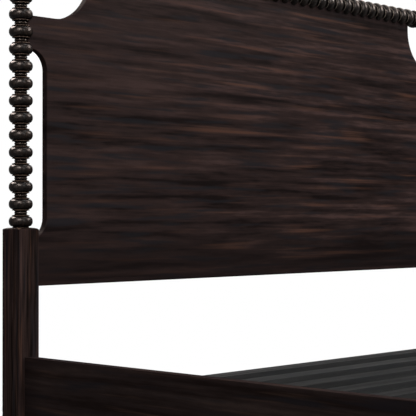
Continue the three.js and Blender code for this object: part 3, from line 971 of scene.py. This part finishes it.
@dataclass(frozen=True)
class BeadTurning:
    """One bead of the turning, with the fillets and grooves that part it from the next.

    Lengths run from the bead's middle along the axis, for the pitch given here.
    """

    pitch: float = 0.0448
    belly_radius: float = 0.0310
    belly_reach: float = 0.0131
    notch_radius: float = 0.0208
    fillet_start: float = 0.0139
    fillet_end: float = 0.0164
    fillet_radius: float = 0.0228
    groove_end: float = 0.0199
    groove_radius: float = 0.0153
    ring_start: float = 0.0203
    ring_radius: float = 0.0164
    ease: float = 0.0005
    belly_power: float = 2.1
    belly_steps: int = 10
    # The belly's crest takes a little rubbed colour with a painted highlight, and its foot by the notch takes
    # painted shade.
    belly_wear: float = 0.06
    belly_crevice: float = 0.7

    def half(self) -> list[tuple[float, float, float, float]]:
        """Half a bead, from its middle to the middle of the ring beside it.

        The belly is the curve (x / reach) ^ power + (y / height) ^ power = 1 over the notch's
        radius. The fillet is a flat with eased edges. A hollow, a quarter of an ellipse, runs from
        it down to the groove, and the ring between two grooves is a low round.

        Returns:
            Rows of length along the axis, radius, wear with its painted highlight, and crevice with its
            painted shade.
        """
        turn = np.linspace(0, QUARTER_TURN, self.belly_steps)
        along = self.belly_reach * np.sin(turn) ** (2 / self.belly_power)
        height = self.belly_radius - self.notch_radius
        radius = self.notch_radius + height * np.cos(turn) ** (2 / self.belly_power)
        share = (radius - self.notch_radius) / height
        # Painted highlight with wear on the crest, and painted shade low on the belly by the notch.
        belly = list(zip(along, radius, self.belly_wear * share**4, self.belly_crevice * (1 - share) ** 3))
        dip = np.linspace(0, QUARTER_TURN, 5)[1:]
        # The hollow down to the groove darkens with painted shade.
        hollow = list(zip(
            self.groove_end - (self.groove_end - self.fillet_end) * np.cos(dip),
            self.notch_radius - (self.notch_radius - self.groove_radius) * np.sin(dip),
            np.zeros(4),
            0.5 + 0.5 * np.sin(dip),
        ))
        # The notch is darkened with painted shade; the fillet's eased edges are lightened with the rubbed
        # colour: wear, and a painted highlight as well.
        return belly + [
            (self.belly_reach + self.ease, self.notch_radius, 0.0, 1.0),
            (self.fillet_start, self.notch_radius, 0.0, 0.9),
            (self.fillet_start + self.ease / 3, self.fillet_radius - self.ease, 0.5, 0.1),
            (self.fillet_start + self.ease, self.fillet_radius, 1.0, 0.0),
            (self.fillet_end - self.ease, self.fillet_radius, 1.0, 0.0),
            (self.fillet_end - self.ease / 3, self.fillet_radius - self.ease, 0.5, 0.1),
            (self.fillet_end, self.notch_radius, 0.0, 0.5),
            *hollow,
            # The ring: painted shade where it leaves the groove, and a little rubbed colour with a painted
            # highlight on its round.
            (self.ring_start, self.ring_radius - self.ease, 0.0, 0.5),
            (self.ring_start + self.ease, self.ring_radius, 0.2, 0.2),
            (self.ring_start + 2 * self.ease, self.ring_radius + self.ease / 2, 0.3, 0.0),
            (self.pitch / 2, self.ring_radius + 0.7 * self.ease, 0.3, 0.0),
        ]

    def row(self, first: float, pitch: float, count: int, finish: int = 0) -> list[Section]:
        """The sections of a row of beads, from the ring before the first to the ring after the last.

        Args:
            first: The first bead's middle.
            pitch: From one bead's middle to the next.
            count: How many beads there are.
            finish: The faces' finish number.

        Returns:
            The sections in order.
        """
        stretch = pitch / self.pitch
        half = self.half()
        bead = [(-along, *rest) for along, *rest in half[:0:-1]] + half
        sections = []
        for number in range(count):
            middle = first + number * pitch
            rows = bead if number == 0 else bead[1:]
            sections += [circle(middle + stretch * along, *rest, finish) for along, *rest in rows]
        return sections


BEADS = BeadTurning()
TURNED = 1  # the number of the turned wood among a post's finishes, after its block's


@dataclass(frozen=True)
class TurnedPost:
    """A corner post: a square block with eased edges, a domed shoulder, and beads to the top.

    It is bored below for its glide's pin and above for its finial's dowel.
    """

    node: str
    beads: int
    edge: float = 0.0011
    first_rise: float = 0.022
    shoulder_rise: float = 0.006
    neck_radius: float = 0.0222
    pin_radius: float = 0.0023
    pin_depth: float = 0.0143
    dowel_radius: float = 0.0083
    dowel_depth: float = 0.0183
    quarter: int = 20

    def build(self) -> None:
        """Makes the post around its node."""
        low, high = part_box(self.node)
        half = (high.x - low.x) / 2
        centre = upright(low, high)
        block_top = high.z - self.first_rise - (self.beads - 0.5) * BEADS.pitch
        sections = self.block(low.z, half)
        sections += self.shoulder(block_top, half)
        sections += self.stem(block_top, high.z)
        surface = loft(Axis.Z, centre, sections, self.quarter, lambda reach: self.crown(reach, half))
        refine(self.node, surface, Slot.POST, POST_WOOD.material(Axis.Z), TURNED_WOOD.material(Axis.Z))

    def block(self, bottom: float, half: float) -> list[Section]:
        """The block's lower rings, from the bore for the pin round the edge of its underside.

        Args:
            bottom: The height of its underside.
            half: Half its side.

        Returns:
            The sections in order.
        """
        # The pin's bore is darkened with painted shade.
        bore = [circle(bottom + self.pin_depth, self.pin_radius, crevice=1.0)]
        bore.append(circle(bottom, self.pin_radius))
        return bore + eased_end(Section(bottom, half, half, self.edge), 1, self.edge)

    def crown(self, reach: np.ndarray, half: float) -> np.ndarray:
        """The height of the dome that the turning leaves on the block, over the block's corners.

        It is a quarter of an ellipse: rise times the root of 1 - ((d - n) / (c - n))^2, where d is
        the distance from the axis, c the corners' distance and n the neck's radius.

        Args:
            reach: The distances from the axis.
            half: Half the block's side.

        Returns:
            The heights.
        """
        corner = math.sqrt(2) * half
        share = np.clip((reach - self.neck_radius) / (corner - self.neck_radius), 0, 1)
        return self.shoulder_rise * np.sqrt(1 - share**2)

    def shoulder(self, top: float, half: float) -> list[Section]:
        """The domed shoulder's rings, from the square block to the neck's circle.

        At a share s of the way in, a ring's half side is h + (n - h) s, where h is half the eased
        block and n the neck's radius. Its corners' radius is e + (side - e) s^0.6, where e is the
        block's edge. So the last ring is round.

        Args:
            top: The height of the block's corners.
            half: Half the block's side.

        Returns:
            The sections in order.
        """
        square = Section(top, half, half, self.edge, crowned=1.0)
        ease = 0.6 * self.edge
        rings = [replace(square, place=top - 4 * ease), replace(square, place=top - ease)]
        # The block's top edge and the dome take the rubbed colour: real wear, and a painted highlight as
        # well.
        for angle in np.linspace(0.25, 1, 4) * QUARTER_TURN:
            drawn_in = ease * (1 - math.cos(angle))
            below = ease * (1 - math.sin(angle))
            rings.append(square.inset(drawn_in, top - below, wear=math.sin(2 * angle)))
        inner = half - ease
        for share in np.linspace(0.12, 1, 8):
            reach = inner + (self.neck_radius - inner) * float(share)
            corner = self.edge + (reach - self.edge) * float(share) ** 0.6
            rings.append(Section(top, reach, reach, corner, 0.1, 0.0, TURNED, crowned=1.0))
        return rings

    def stem(self, block_top: float, top: float) -> list[Section]:
        """The beads, from the neck on the shoulder to the fillet and the bore at the top.

        Args:
            block_top: The height of the block's top.
            top: The height of the stem's top.

        Returns:
            The sections in order.
        """
        first = block_top + self.first_rise
        seat = block_top + self.shoulder_rise
        row = BEADS.row(first, BEADS.pitch, self.beads, TURNED)
        lowest = first - BEADS.fillet_start - BEADS.ease / 5
        highest = first + (self.beads - 1) * BEADS.pitch + BEADS.fillet_end - BEADS.ease
        row = [section for section in row if lowest <= section.place <= highest]
        # The neck and the top fillet take the rubbed colour with a painted highlight; the dowel's bore is
        # darkened with painted shade.
        neck = [circle(seat + BEADS.ease, self.neck_radius - BEADS.ease, 0.2, 0.2, TURNED)]
        upper = [
            circle(top - BEADS.ease, self.neck_radius, 0.4, 0.0, TURNED),
            circle(top, self.neck_radius - BEADS.ease, 0.4, 0.0, TURNED),
            circle(top, self.dowel_radius, 0.0, 0.8, TURNED),
            circle(top - self.dowel_depth, self.dowel_radius, 0.0, 1.0, TURNED),
        ]
        return neck + row + upper


@dataclass(frozen=True)
class TopRail:
    """The beaded rail over the headboard, with a round tenon at each end."""

    node: str = "top_rail"
    beads: int = 42
    tenon_length: float = 0.0197
    tenon_radius: float = 0.012
    quarter: int = 12

    def build(self) -> None:
        """Makes the rail around its node: its beads fill it from tenon to tenon."""
        low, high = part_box(self.node)
        centre = (low + high) / 2
        end = (high.x - low.x) / 2
        shoulder = end - self.tenon_length
        pitch = 2 * shoulder / self.beads
        row = BEADS.row(pitch / 2 - shoulder, pitch, self.beads)
        # The tenon's shoulder is darkened with painted shade.
        tip = [
            circle(-end, self.tenon_radius - 2 * BEADS.ease),
            circle(-end + 2 * BEADS.ease, self.tenon_radius),
            circle(-shoulder, self.tenon_radius, 0.0, 1.0),
        ]
        surface = loft(Axis.X, centre, tip + row + mirrored(tip), self.quarter)
        refine(self.node, surface, Slot.TURNED, TOP_RAIL_WOOD.material(Axis.X))


@dataclass(frozen=True)
class Finial:
    """A button on a neck and a collar, turned with the dowel that holds it."""

    node: str
    dowel_length: float = 0.018
    dowel_radius: float = 0.008
    collar_radius: float = 0.022
    collar_height: float = 0.006
    neck_radius: float = 0.012
    neck_height: float = 0.005
    ball_radius: float = 0.026
    ball_steps: int = 22
    quarter: int = 18

    def build(self) -> None:
        """Makes the finial around its node.

        Its button is half an ellipse turned about Z, cut off just before its poles.
        """
        low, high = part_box(self.node)
        centre = upright(low, high, low.z + self.dowel_length)
        collar_top = self.collar_height
        ball_low = collar_top + self.neck_height
        ball_height = high.z - centre.z - ball_low
        turn = np.linspace(0.12, 0.985, self.ball_steps) * math.pi
        ball = zip(self.ball_radius * np.sin(turn), ball_low + ball_height * (1 - np.cos(turn)) / 2)
        ease = BEADS.ease
        # The collar's round and the button take the rubbed colour with a painted highlight; the dowel's root
        # and the neck are darkened with painted shade.
        sections = [
            circle(-self.dowel_length, self.dowel_radius - 2 * ease),
            circle(2 * ease - self.dowel_length, self.dowel_radius),
            circle(0, self.dowel_radius, 0.0, 0.8),
            circle(0, self.collar_radius - ease, 0.3),
            circle(ease, self.collar_radius, 0.5),
            circle(collar_top / 2, self.collar_radius + ease, 0.6),
            circle(collar_top - ease, self.collar_radius, 0.5),
            circle(collar_top, self.collar_radius - ease, 0.3),
            circle(collar_top + ease, self.neck_radius + 3 * ease, 0.0, 0.8),
            circle(collar_top + 3 * ease, self.neck_radius, 0.0, 1.0),
            circle(ball_low, self.neck_radius, 0.0, 1.0),
        ]
        for out, up in ball:
            if out > self.neck_radius or up > ball_low + ball_height / 2:
                sections.append(circle(float(up), float(out), 0.3))
        surface = loft(Axis.Z, centre, sections, self.quarter)
        refine(self.node, surface, Slot.TURNED, TURNED_WOOD.material(Axis.Z))


@dataclass(frozen=True)
class HeadboardPanel:
    """The headboard's one flat board: ears in the posts, side slots and hollow upper corners."""

    node: str = "headboard_panel"
    post: str = "headboard_post_right"
    rail: str = "top_rail"
    lower_ear: float = 0.124
    upper_ear_drop: float = 0.1792
    upper_ear: float = 0.087
    slot_edge: float = 0.080
    slot_radius: float = 0.055
    hollow_start: float = 0.106
    hollow_radius: float = 0.1325
    edge: float = 0.0013
    # The middle of the board's edge takes this much painted shade, by the crevice value.
    dark_edge: float = 0.10
    arc_points: int = 25

    def build(self) -> None:
        """Makes the panel around its node."""
        low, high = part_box(self.node)
        surface = self.plate(self.outline(low, high), low.y, high.y)
        refine(self.node, surface, Slot.PANEL, HEADBOARD_WOOD.material(Axis.X))

    def arc(self, centre: tuple[float, float], radius: float, start: float, end: float) -> np.ndarray:
        """Rows of x and z on an arc: centre plus radius times (cos a, sin a), a in quarter turns."""
        turn = np.linspace(start, end, self.arc_points) * QUARTER_TURN
        return np.column_stack([centre[0] + radius * np.cos(turn), centre[1] + radius * np.sin(turn)])

    def outline(self, low: Vector, high: Vector) -> np.ndarray:
        """The panel's outline, anticlockwise seen from the foot of the bed.

        Args:
            low: The lowest corner of its box.
            high: The highest corner of its box.

        Returns:
            Rows of x and z.
        """
        post_low, post_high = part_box(self.post)
        axis_x = (post_low.x + post_high.x) / 2
        rail_low, rail_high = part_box(self.rail)
        ear_top = (rail_low.z + rail_high.z) / 2 - self.upper_ear_drop
        slot_low, slot_high = low.z + self.lower_ear, ear_top - self.upper_ear
        slot_x = axis_x - self.slot_edge + self.slot_radius
        hollow_x = axis_x - self.hollow_start
        side = np.vstack([
            [[high.x, low.z], [high.x, slot_low]],
            self.arc((slot_x, slot_low + self.slot_radius), self.slot_radius, -1, -2),
            self.arc((slot_x, slot_high - self.slot_radius), self.slot_radius, 2, 1),
            [[high.x, slot_high], [high.x, ear_top]],
            self.arc((hollow_x, ear_top + self.hollow_radius), self.hollow_radius, -1, -2),
            [[hollow_x - self.hollow_radius, high.z]],
        ])
        return np.vstack([side, side[::-1] * [-1, 1]])

    def plate(self, outline: np.ndarray, front: float, back: float) -> Surface:
        """The board between two planes of Y, its edges eased all round.

        Each ring is the outline moved in along its corners' bisectors. At angle a it moves in by
        edge times (1 - sin a), at edge times (1 - cos a) from the face. A ring further in, and one
        further down the edge, keep the flats flat.

        Args:
            outline: Rows of x and z.
            front: The y of the face towards the foot.
            back: The y of the face towards the wall.

        Returns:
            The board's surface.
        """
        ahead = np.roll(outline, -1, axis=0) - outline
        ahead /= np.linalg.norm(ahead, axis=1)[:, None]
        normal = np.column_stack([ahead[:, 1], -ahead[:, 0]])
        bisector = normal + np.roll(normal, 1, axis=0)
        bisector /= np.sum(bisector * normal, axis=1)[:, None]
        angles = np.linspace(0, QUARTER_TURN, 5)
        inset = np.concatenate([[2.5 * self.edge], self.edge * (1 - np.sin(angles)), [0.0]])
        inside = np.concatenate([[0.0], self.edge * (1 - np.cos(angles)), [1.6 * self.edge]])
        wear = np.concatenate([[0.0], np.sin(2 * angles), [0.0]])
        inset = np.concatenate([inset, inset[::-1]])
        place = np.concatenate([back - inside, front + inside[::-1]])
        rings = outline[None] - bisector[None] * inset[:, None, None]
        shape = rings.shape[:2]
        depth = np.broadcast_to(place[:, None], shape)
        points = np.stack([rings[..., 0], depth, rings[..., 1]], axis=-1)
        faces = tube_faces(len(place), len(outline))
        # The eased edges take the rubbed colour, real wear with a painted highlight; the middle of the edge
        # takes painted shade.
        worn_and_lit = np.broadcast_to(np.concatenate([wear, wear[::-1]])[:, None], shape)
        dark = np.zeros(len(place))
        dark[len(wear) - 1 : len(wear) + 1] = self.dark_edge
        dark = np.broadcast_to(dark[:, None], shape)
        return Surface(points.reshape(-1, 3), faces, worn_and_lit.ravel(), dark.ravel(), np.zeros(len(faces)))


@dataclass(frozen=True)
class TenonedRail:
    """A plain board between two posts, with a tenon at each end."""

    node: str
    tenon_length: float = 0.0203
    tenon_half: float = 0.0075
    tenon_shoulder: float = 0.020
    edge: float = 0.0012

    def build(self) -> None:
        """Makes the rail around its node."""
        low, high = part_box(self.node)
        centre, half = (low + high) / 2, (high - low) / 2
        shoulder = half.x - self.tenon_length
        tenon = Section(-half.x, self.tenon_half, half.z - self.tenon_shoulder, self.edge / 2)
        near = eased_end(tenon, 1, self.edge / 2)
        near.append(replace(tenon, place=-shoulder, wear=0.0))
        near += eased_end(Section(-shoulder, half.y, half.z, self.edge), 1, self.edge / 2)
        surface = loft(Axis.X, centre, near + mirrored(near), quarter=6)
        refine(self.node, surface, Slot.RAIL, RAIL_WOOD.material(Axis.X))


@dataclass(frozen=True)
class SideRail:
    """A side rail: a plain board on edge, let in at both ends for its hook plates."""

    node: str
    recess_half_width: float = 0.0103
    recess_half_height: float = 0.0603
    recess_depth: float = 0.0028
    edge: float = 0.0012

    def build(self) -> None:
        """Makes the rail around its node. Its local width is along Z, its depth along X."""
        low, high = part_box(self.node)
        centre, half = (low + high) / 2, (high - low) / 2
        recess = Section(-half.y, self.recess_half_height, self.recess_half_width, self.edge / 4)
        near = [replace(recess, place=self.recess_depth - half.y), recess]
        near += eased_end(Section(-half.y, half.z, half.x, self.edge), 1, self.edge / 2)
        surface = loft(Axis.Y, centre, near + mirrored(near), quarter=7)
        refine(self.node, surface, Slot.RAIL, RAIL_WOOD.material(Axis.Y))


@dataclass(frozen=True)
class Screws:
    """A set of round-headed screws with square sockets, all turned the same way."""

    name: str
    radius: float = 0.0036
    under_radius: float = 0.00324
    height: float = 0.0014
    socket_half: float = 0.0011
    socket_depth: float = 0.0009
    sunk: float = 0.0006

    def head(self, axis: Axis, place: Vector, way: int) -> Surface:
        """One head: an arc from its rim to its socket, turned about the axis.

        Args:
            axis: The screw's axis.
            place: Where its axis meets the surface it is driven into.
            way: 1 or -1, the way along the axis that the head looks.

        Returns:
            The head's surface.
        """
        turn = np.linspace(0, QUARTER_TURN, 5)[:-1]
        arc = zip(self.height * np.sin(turn), self.radius * np.cos(turn))
        rings = [circle(-self.sunk, self.under_radius)]
        rings += [circle(float(up), float(out)) for up, out in arc]
        socket = Section(self.height, self.socket_half, self.socket_half, self.socket_half / 6)
        rings += [socket, replace(socket, place=self.height - self.socket_depth)]
        if way < 0:
            rings = mirrored(rings)
        return loft(axis, place, rings, quarter=5)

    def build(self, axis: Axis, places: Sequence[tuple[Vector, int]], finish: SteelFinish) -> None:
        """Makes the set as one piece, from each screw's place and the way it looks on the axis."""
        surface = Surface.joined([self.head(axis, place, way) for place, way in places])
        fit(surface.piece(self.name, [finish.material()], sharp=35), Slot.STEEL)


class Headboard:
    """The head end: two posts, the panel, the beaded rail, the lower rail and the finials."""

    BEADS_ON_POST = 17

    def build(self) -> None:
        """Makes its pieces."""
        for hand in Hand:
            side = hand.name.lower()
            TurnedPost(f"headboard_post_{side}", self.BEADS_ON_POST).build()
            Finial(f"headboard_finial_{side}").build()
        HeadboardPanel().build()
        TopRail().build()
        TenonedRail("headboard_lower_rail").build()


class Footboard:
    """The foot end: two short posts with their finials, and the foot rail."""

    BEADS_ON_POST = 3

    def build(self) -> None:
        """Makes its pieces."""
        for hand in Hand:
            side = hand.name.lower()
            TurnedPost(f"foot_post_{side}", self.BEADS_ON_POST).build()
            Finial(f"foot_finial_{side}").build()
        TenonedRail("foot_rail").build()


@dataclass(frozen=True)
class RailsAndCleats:
    """The two side rails and the screwed cleats that the slats lie on."""

    cleat_edge: float = 0.0015
    cleat_screws: int = 8
    screw_margin: float = 0.10

    def build(self) -> None:
        """Makes its pieces."""
        for hand in Hand:
            side = hand.name.lower()
            SideRail(f"side_rail_{side}").build()
            self.cleat(f"slat_cleat_{side}", hand)

    def cleat(self, node: str, hand: Hand) -> None:
        """Makes one cleat and the row of screws through it.

        Args:
            node: The cleat's node.
            hand: Its side of the bed.
        """
        low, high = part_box(node)
        surface = board(Axis.Y, low, high, self.cleat_edge)
        refine(node, surface, Slot.BEAM, BEAM_WOOD.material(Axis.Y))
        inner = low.x if hand is Hand.RIGHT else high.x
        middle = (low.z + high.z) / 2
        along = np.linspace(low.y + self.screw_margin, high.y - self.screw_margin, self.cleat_screws)
        places = [(Vector((inner, float(y), middle)), -hand.value) for y in along]
        Screws(f"cleat_screws_{hand.name.lower()}").build(Axis.X, places, BLACK_STEEL)


@dataclass(frozen=True)
class Deck:
    """The slats, each screwed down near its two ends."""

    slats: int = 14
    edge: float = 0.0014
    screw_from_end: float = 0.012

    def build(self) -> None:
        """Makes its pieces."""
        places = []
        for number in range(1, self.slats + 1):
            node = f"slat_{number:02d}"
            low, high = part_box(node)
            surface = board(Axis.X, low, high, self.edge, quarter=7)
            refine(node, surface, Slot.SLAT, SLAT_WOOD.material(Axis.X))
            middle = (low.y + high.y) / 2
            for x in (low.x + self.screw_from_end, high.x - self.screw_from_end):
                places.append((Vector((x, middle, high.z)), 1))
        Screws("slat_screws").build(Axis.Z, places, BLACK_STEEL)


@dataclass(frozen=True)
class LevellingFoot:
    """A fluted pad with a threaded stem, which screws up into its leg."""

    number: int
    pad_radius: float = 0.017
    pad_height: float = 0.008
    flutes: int = 24
    flute_depth: float = 0.0004
    stem_radius: float = 0.005
    thread_pitch: float = 0.0015
    thread_depth: float = 0.0004
    ease: float = 0.0012
    around: int = 96
    stem_around: int = 24
    rings_per_turn: int = 6

    def build(self) -> None:
        """Makes the pad and the stem around their node."""
        node, body = f"levelling_foot_{self.number}", f"leveller_{self.number}"
        low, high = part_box(node)
        centre = upright(low, high, low.z)
        pad = waved(centre, self.pad_rows(), self.flutes, math.inf, self.around)
        fit(pad.piece(f"{node}_pad", [PLASTIC.material()], sharp=40), Slot.PLASTIC, node, body=body)
        stem = waved(centre, self.stem_rows(high.z - low.z), 1, self.thread_pitch, self.stem_around)
        fit(stem.piece(f"{node}_stem", [STEEL.material()], sharp=70), Slot.STEEL, node, body=body)

    def pad_rows(self) -> np.ndarray:
        """The pad's rings: an eased sole, a fluted rim, a bevelled top and a raised boss.

        Returns:
            Rows of height, radius and the flutes' depth.
        """
        outer, ease, top = self.pad_radius - self.flute_depth, self.ease, self.pad_height
        boss = 1.9 * self.stem_radius
        return np.array([
            [0.0, outer - ease, 0.0],
            [0.3 * ease, outer - 0.3 * ease, 0.0],
            [ease, outer, self.flute_depth],
            [top - 2.6 * ease, outer, self.flute_depth],
            [top - 1.9 * ease, outer - 0.5 * ease, 0.0],
            [top - 1.5 * ease, boss + ease, 0.0],
            [top - 1.2 * ease, boss, 0.0],
            [top - 0.2 * ease, boss, 0.0],
            [top, boss - 0.3 * ease, 0.0],
            [top, self.stem_radius * 0.6, 0.0],
        ])

    def stem_rows(self, top: float) -> np.ndarray:
        """The stem's rings, from inside the pad to its bevelled end.

        Args:
            top: The height of the stem's end over the sole.

        Returns:
            Rows of height, radius and the thread's depth.
        """
        low = self.pad_height - self.ease
        count = int((top - low) / self.thread_pitch * self.rings_per_turn)
        height = np.linspace(low, top - self.ease, count)
        depth = self.thread_depth
        middle = np.column_stack([height, np.full(count, self.stem_radius - depth), np.full(count, depth)])
        end = [[top, self.stem_radius - 3 * depth, 0.0]]
        return np.vstack([middle, end])


@dataclass(frozen=True)
class Glide:
    """A nail-in glide under a corner post: a crowned disc on its pin."""

    node: str
    pin_radius: float = 0.002
    disc_height: float = 0.004
    ease: float = 0.0010

    def build(self) -> None:
        """Makes the glide around its node."""
        low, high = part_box(self.node)
        centre = upright(low, high, low.z)
        radius, top, ease = (high.x - low.x) / 2, self.disc_height, self.ease
        sections = [
            circle(0.0, radius - 2 * ease),
            circle(0.3 * ease, radius - ease),
            circle(ease, radius - 0.2 * ease),
            circle(2 * ease, radius),
            circle(top - 0.4 * ease, radius),
            circle(top, radius - 0.4 * ease),
            circle(top, self.pin_radius),
            circle(high.z - low.z - ease, self.pin_radius),
            circle(high.z - low.z, self.pin_radius / 4),
        ]
        surface = loft(Axis.Z, centre, sections, quarter=9)
        refine(self.node, surface, Slot.PLASTIC, PLASTIC.material())


@dataclass(frozen=True)
class CentreSupport:
    """The beam under the slats, its hangers, and its legs on levelling feet."""

    legs: int = 3
    edge: float = 0.0020
    bolt_bore: float = 0.0043
    bolt_bore_depth: float = 0.0303
    stem_bore: float = 0.0053
    stem_bore_depth: float = 0.048
    flange_thickness: float = 0.003
    flange_from_end: float = 0.011
    flange_screw_heights: Span = (0.016, 0.047)

    def build(self) -> None:
        """Makes its pieces."""
        low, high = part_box("centre_beam")
        surface = board(Axis.Y, low, high, self.edge)
        refine("centre_beam", surface, Slot.BEAM, BEAM_WOOD.material(Axis.Y))
        for number in range(1, self.legs + 1):
            self.leg(f"centre_leg_{number}")
            LevellingFoot(number).build()
        self.hanger("beam_hanger_head", -1)
        self.hanger("beam_hanger_foot", 1)

    def leg(self, node: str) -> None:
        """Makes a leg, bored above for its bolt and below for its levelling foot.

        Args:
            node: The leg's node.
        """
        low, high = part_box(node)
        centre = upright(low, high)
        half = (high.x - low.x) / 2
        # The stem's bore is darkened with painted shade.
        lower = [circle(low.z + self.stem_bore_depth, self.stem_bore, crevice=1.0)]
        lower.append(circle(low.z, self.stem_bore))
        lower += eased_end(Section(low.z, half, half, self.edge), 1, self.edge)
        upper = [circle(high.z - self.bolt_bore_depth, self.bolt_bore), circle(high.z, self.bolt_bore)]
        upper += eased_end(Section(high.z, half, half, self.edge), -1, self.edge / 2)
        surface = loft(Axis.Z, centre, lower + upper[::-1], quarter=8)
        refine(node, surface, Slot.BEAM, BEAM_WOOD.material(Axis.Z))

    def hanger(self, node: str, way: int) -> None:
        """Drives the screws of a hanger's flanges.

        Args:
            node: The hanger's node.
            way: The way along Y from the rail's face into the bed.
        """
        low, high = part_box(node)
        face = (high.y if way < 0 else low.y) + way * self.flange_thickness
        places = [
            (Vector((x, face, low.z + height)), way)
            for x in (low.x + self.flange_from_end, high.x - self.flange_from_end)
            for height in self.flange_screw_heights
        ]
        Screws(f"{node}_screws").build(Axis.Y, places, STEEL)


def dress_hardware(nodes: dict[str, bpy.types.Object]) -> None:
    """Gives the steel solids that stay their finish.

    Args:
        nodes: The frame's objects by node.
    """
    kinds = ("hook_plate", "slotted_plate", "beam_hanger", "leg_bolt")
    for name, solid in nodes.items():
        if name.startswith(kinds):
            solid.data.materials.clear()
            solid.data.materials.append(STEEL.material())
            LOG.info("%s: the solid, in steel", name)


@dataclass(frozen=True)
class Studio:
    """A pale floor, soft lamps, a white background, and the camera of the reference view."""

    camera_place: tuple[float, float, float] = (-3.1925, -1.6905, 0.745)
    camera_forward: tuple[float, float] = (0.7293, 0.6842)
    camera_pitch: float = 0.376
    lens: float = 116.1
    sensor: float = 36.0
    floor_half: float = 30.0
    floor_fade: Span = (1.9, 3.4)
    floor_tone: Colour = srgb(226, 226, 226)
    bounce_tone: Colour = srgb(110, 110, 110)
    ambient: float = 0.35
    gloss_tint: tuple[float, float, float] = (1.0, 0.84, 0.76)

    def build(self) -> None:
        """Makes the camera, the world, the floor and the lamps."""
        self.camera()
        self.world()
        self.floor()
        self.lamp("overhead", (0.5, -0.4, 5.0), (0.0, 0.2, 0.6), 1.2, 150)
        self.lamp("front", (-1.7, -4.5, 3.3), (-0.2, 0.7, 0.8), 1.6, 200)
        self.lamp("key", (-4.2, -2.7, 3.0), (-0.9, 0.9, 0.9), 0.45, 20)
        self.lamp("right", (4.2, -2.4, 3.4), (0.0, 0.8, 0.8), 1.0, 110)
        self.lamp("back_left", (-2.2, 4.2, 3.6), (-0.8, 0.9, 0.9), 0.7, 60)
        self.lamp("back_right", (3.2, 4.4, 3.0), (0.2, 0.8, 0.8), 2.0, 150)
        self.soft_box("box_camera", (-4.2, -1.3, 3.4), (-0.95, 1.0, 1.0), 2.3, 1350)
        self.soft_box("box_right", (2.3, -1.2, 3.1), (-0.95, 1.0, 1.0), 1.8, 760)
        self.soft_box("box_back", (-1.3, 3.9, 4.1), (-0.95, 1.0, 1.0), 2.2, 2050)
        self.soft_box("box_left", (-5.2, 0.9, 1.7), (-0.95, 1.0, 1.0), 3.0, 150)
        self.soft_box("box_foot", (-1.3, -4.5, 1.3), (-0.95, 1.0, 1.0), 0.9, 45)
        self.soft_box("box_over_rail", (2.9, 1.5, 4.0), (0.3, 1.05, 1.45), 2.0, 420)

    def camera(self) -> None:
        """Sets the camera at the photograph's place and angle."""
        data = bpy.data.cameras.new("camera")
        data.lens = self.lens
        data.sensor_width = self.sensor
        ahead = Vector((*self.camera_forward, math.tan(math.radians(self.camera_pitch))))
        bpy.context.scene.camera = added("camera", data)
        aim(bpy.context.scene.camera, self.camera_place, ahead)

    def world(self) -> None:
        """A white background where it is seen or mirrored, and a dim even light elsewhere."""
        tree = Tree(bpy.data.worlds.new("studio"))
        seen, _ = tree.seen()
        strength = tree.between(seen, 0, 1, self.ambient, 1.0)
        light = tree.node("ShaderNodeBackground", {"Color": WHITE, "Strength": strength})
        tree.node("ShaderNodeOutputWorld", {0: light.outputs[0]})
        bpy.context.scene.world = tree.owner

    def floor(self) -> None:
        """A pale floor that keeps the bed's shadow and fades to white away from it.

        The share of white is a smooth step of the distance from the bed's middle, for rays from
        the camera, mirrors and glass.
        """
        half = self.floor_half
        mesh = bpy.data.meshes.new("floor")
        corners = [(-half, -half, 0), (half, -half, 0), (half, half, 0), (-half, half, 0)]
        mesh.from_pydata(corners, [], [(0, 1, 2, 3)])
        tree = Tree(bpy.data.materials.new("pale_floor"))
        length = tree.node("ShaderNodeVectorMath", {0: tree.place()}, operation="LENGTH").outputs["Value"]
        far = tree.between(length, *self.floor_fade)
        seen, bounced = tree.seen()
        tone = tree.mix(bounced, self.floor_tone, self.bounce_tone)
        pale = tree.node("ShaderNodeBsdfDiffuse", {"Color": tone})
        white = tree.node("ShaderNodeEmission", {"Color": WHITE, "Strength": 1.0})
        share = tree.times(far, seen)
        both = tree.node("ShaderNodeMixShader", {0: share, 1: pale.outputs[0], 2: white.outputs[0]})
        tree.node("ShaderNodeOutputMaterial", {0: both.outputs[0]})
        mesh.materials.append(tree.owner)
        added("floor", mesh)

    def lamp(
        self, name: str, place: Sequence[float], target: Sequence[float], size: float, power: float
    ) -> bpy.types.Object:
        """Hangs a square soft lamp.

        Args:
            name: The lamp's name.
            place: Where it hangs.
            target: What it looks at.
            size: The side of its square, in metres.
            power: Its power in watts.

        Returns:
            The lamp.
        """
        data = bpy.data.lights.new(name, "AREA")
        data.size = size
        data.energy = power
        lamp = added(name, data)
        aim(lamp, place, Vector(target) - Vector(place))
        return lamp

    def soft_box(
        self, name: str, place: Sequence[float], target: Sequence[float], size: float, power: float
    ) -> None:
        """Hangs a soft lamp that only gloss shows, so that it lights no colour.

        Args:
            name: The lamp's name.
            place: Where it hangs.
            target: What it looks at.
            size: The side of its square, in metres.
            power: Its power in watts.
        """
        box = self.lamp(name, place, target, size, power)
        box.visible_diffuse = False
        box.data.color = self.gloss_tint


def main() -> None:
    """Builds the bed's pieces in order, then the studio."""
    logging.basicConfig(level=logging.INFO, format="%(message)s")
    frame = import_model()
    bpy.context.scene.view_settings.view_transform = "Standard"
    Headboard().build()
    Footboard().build()
    RailsAndCleats().build()
    Deck().build()
    CentreSupport().build()
    for end in ("head", "foot"):
        for hand in Hand:
            Glide(f"glide_{end}_{hand.name.lower()}").build()
    dress_hardware(frame["nodes"])
    Studio().build()
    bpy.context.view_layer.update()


if __name__ == "__main__":
    main()
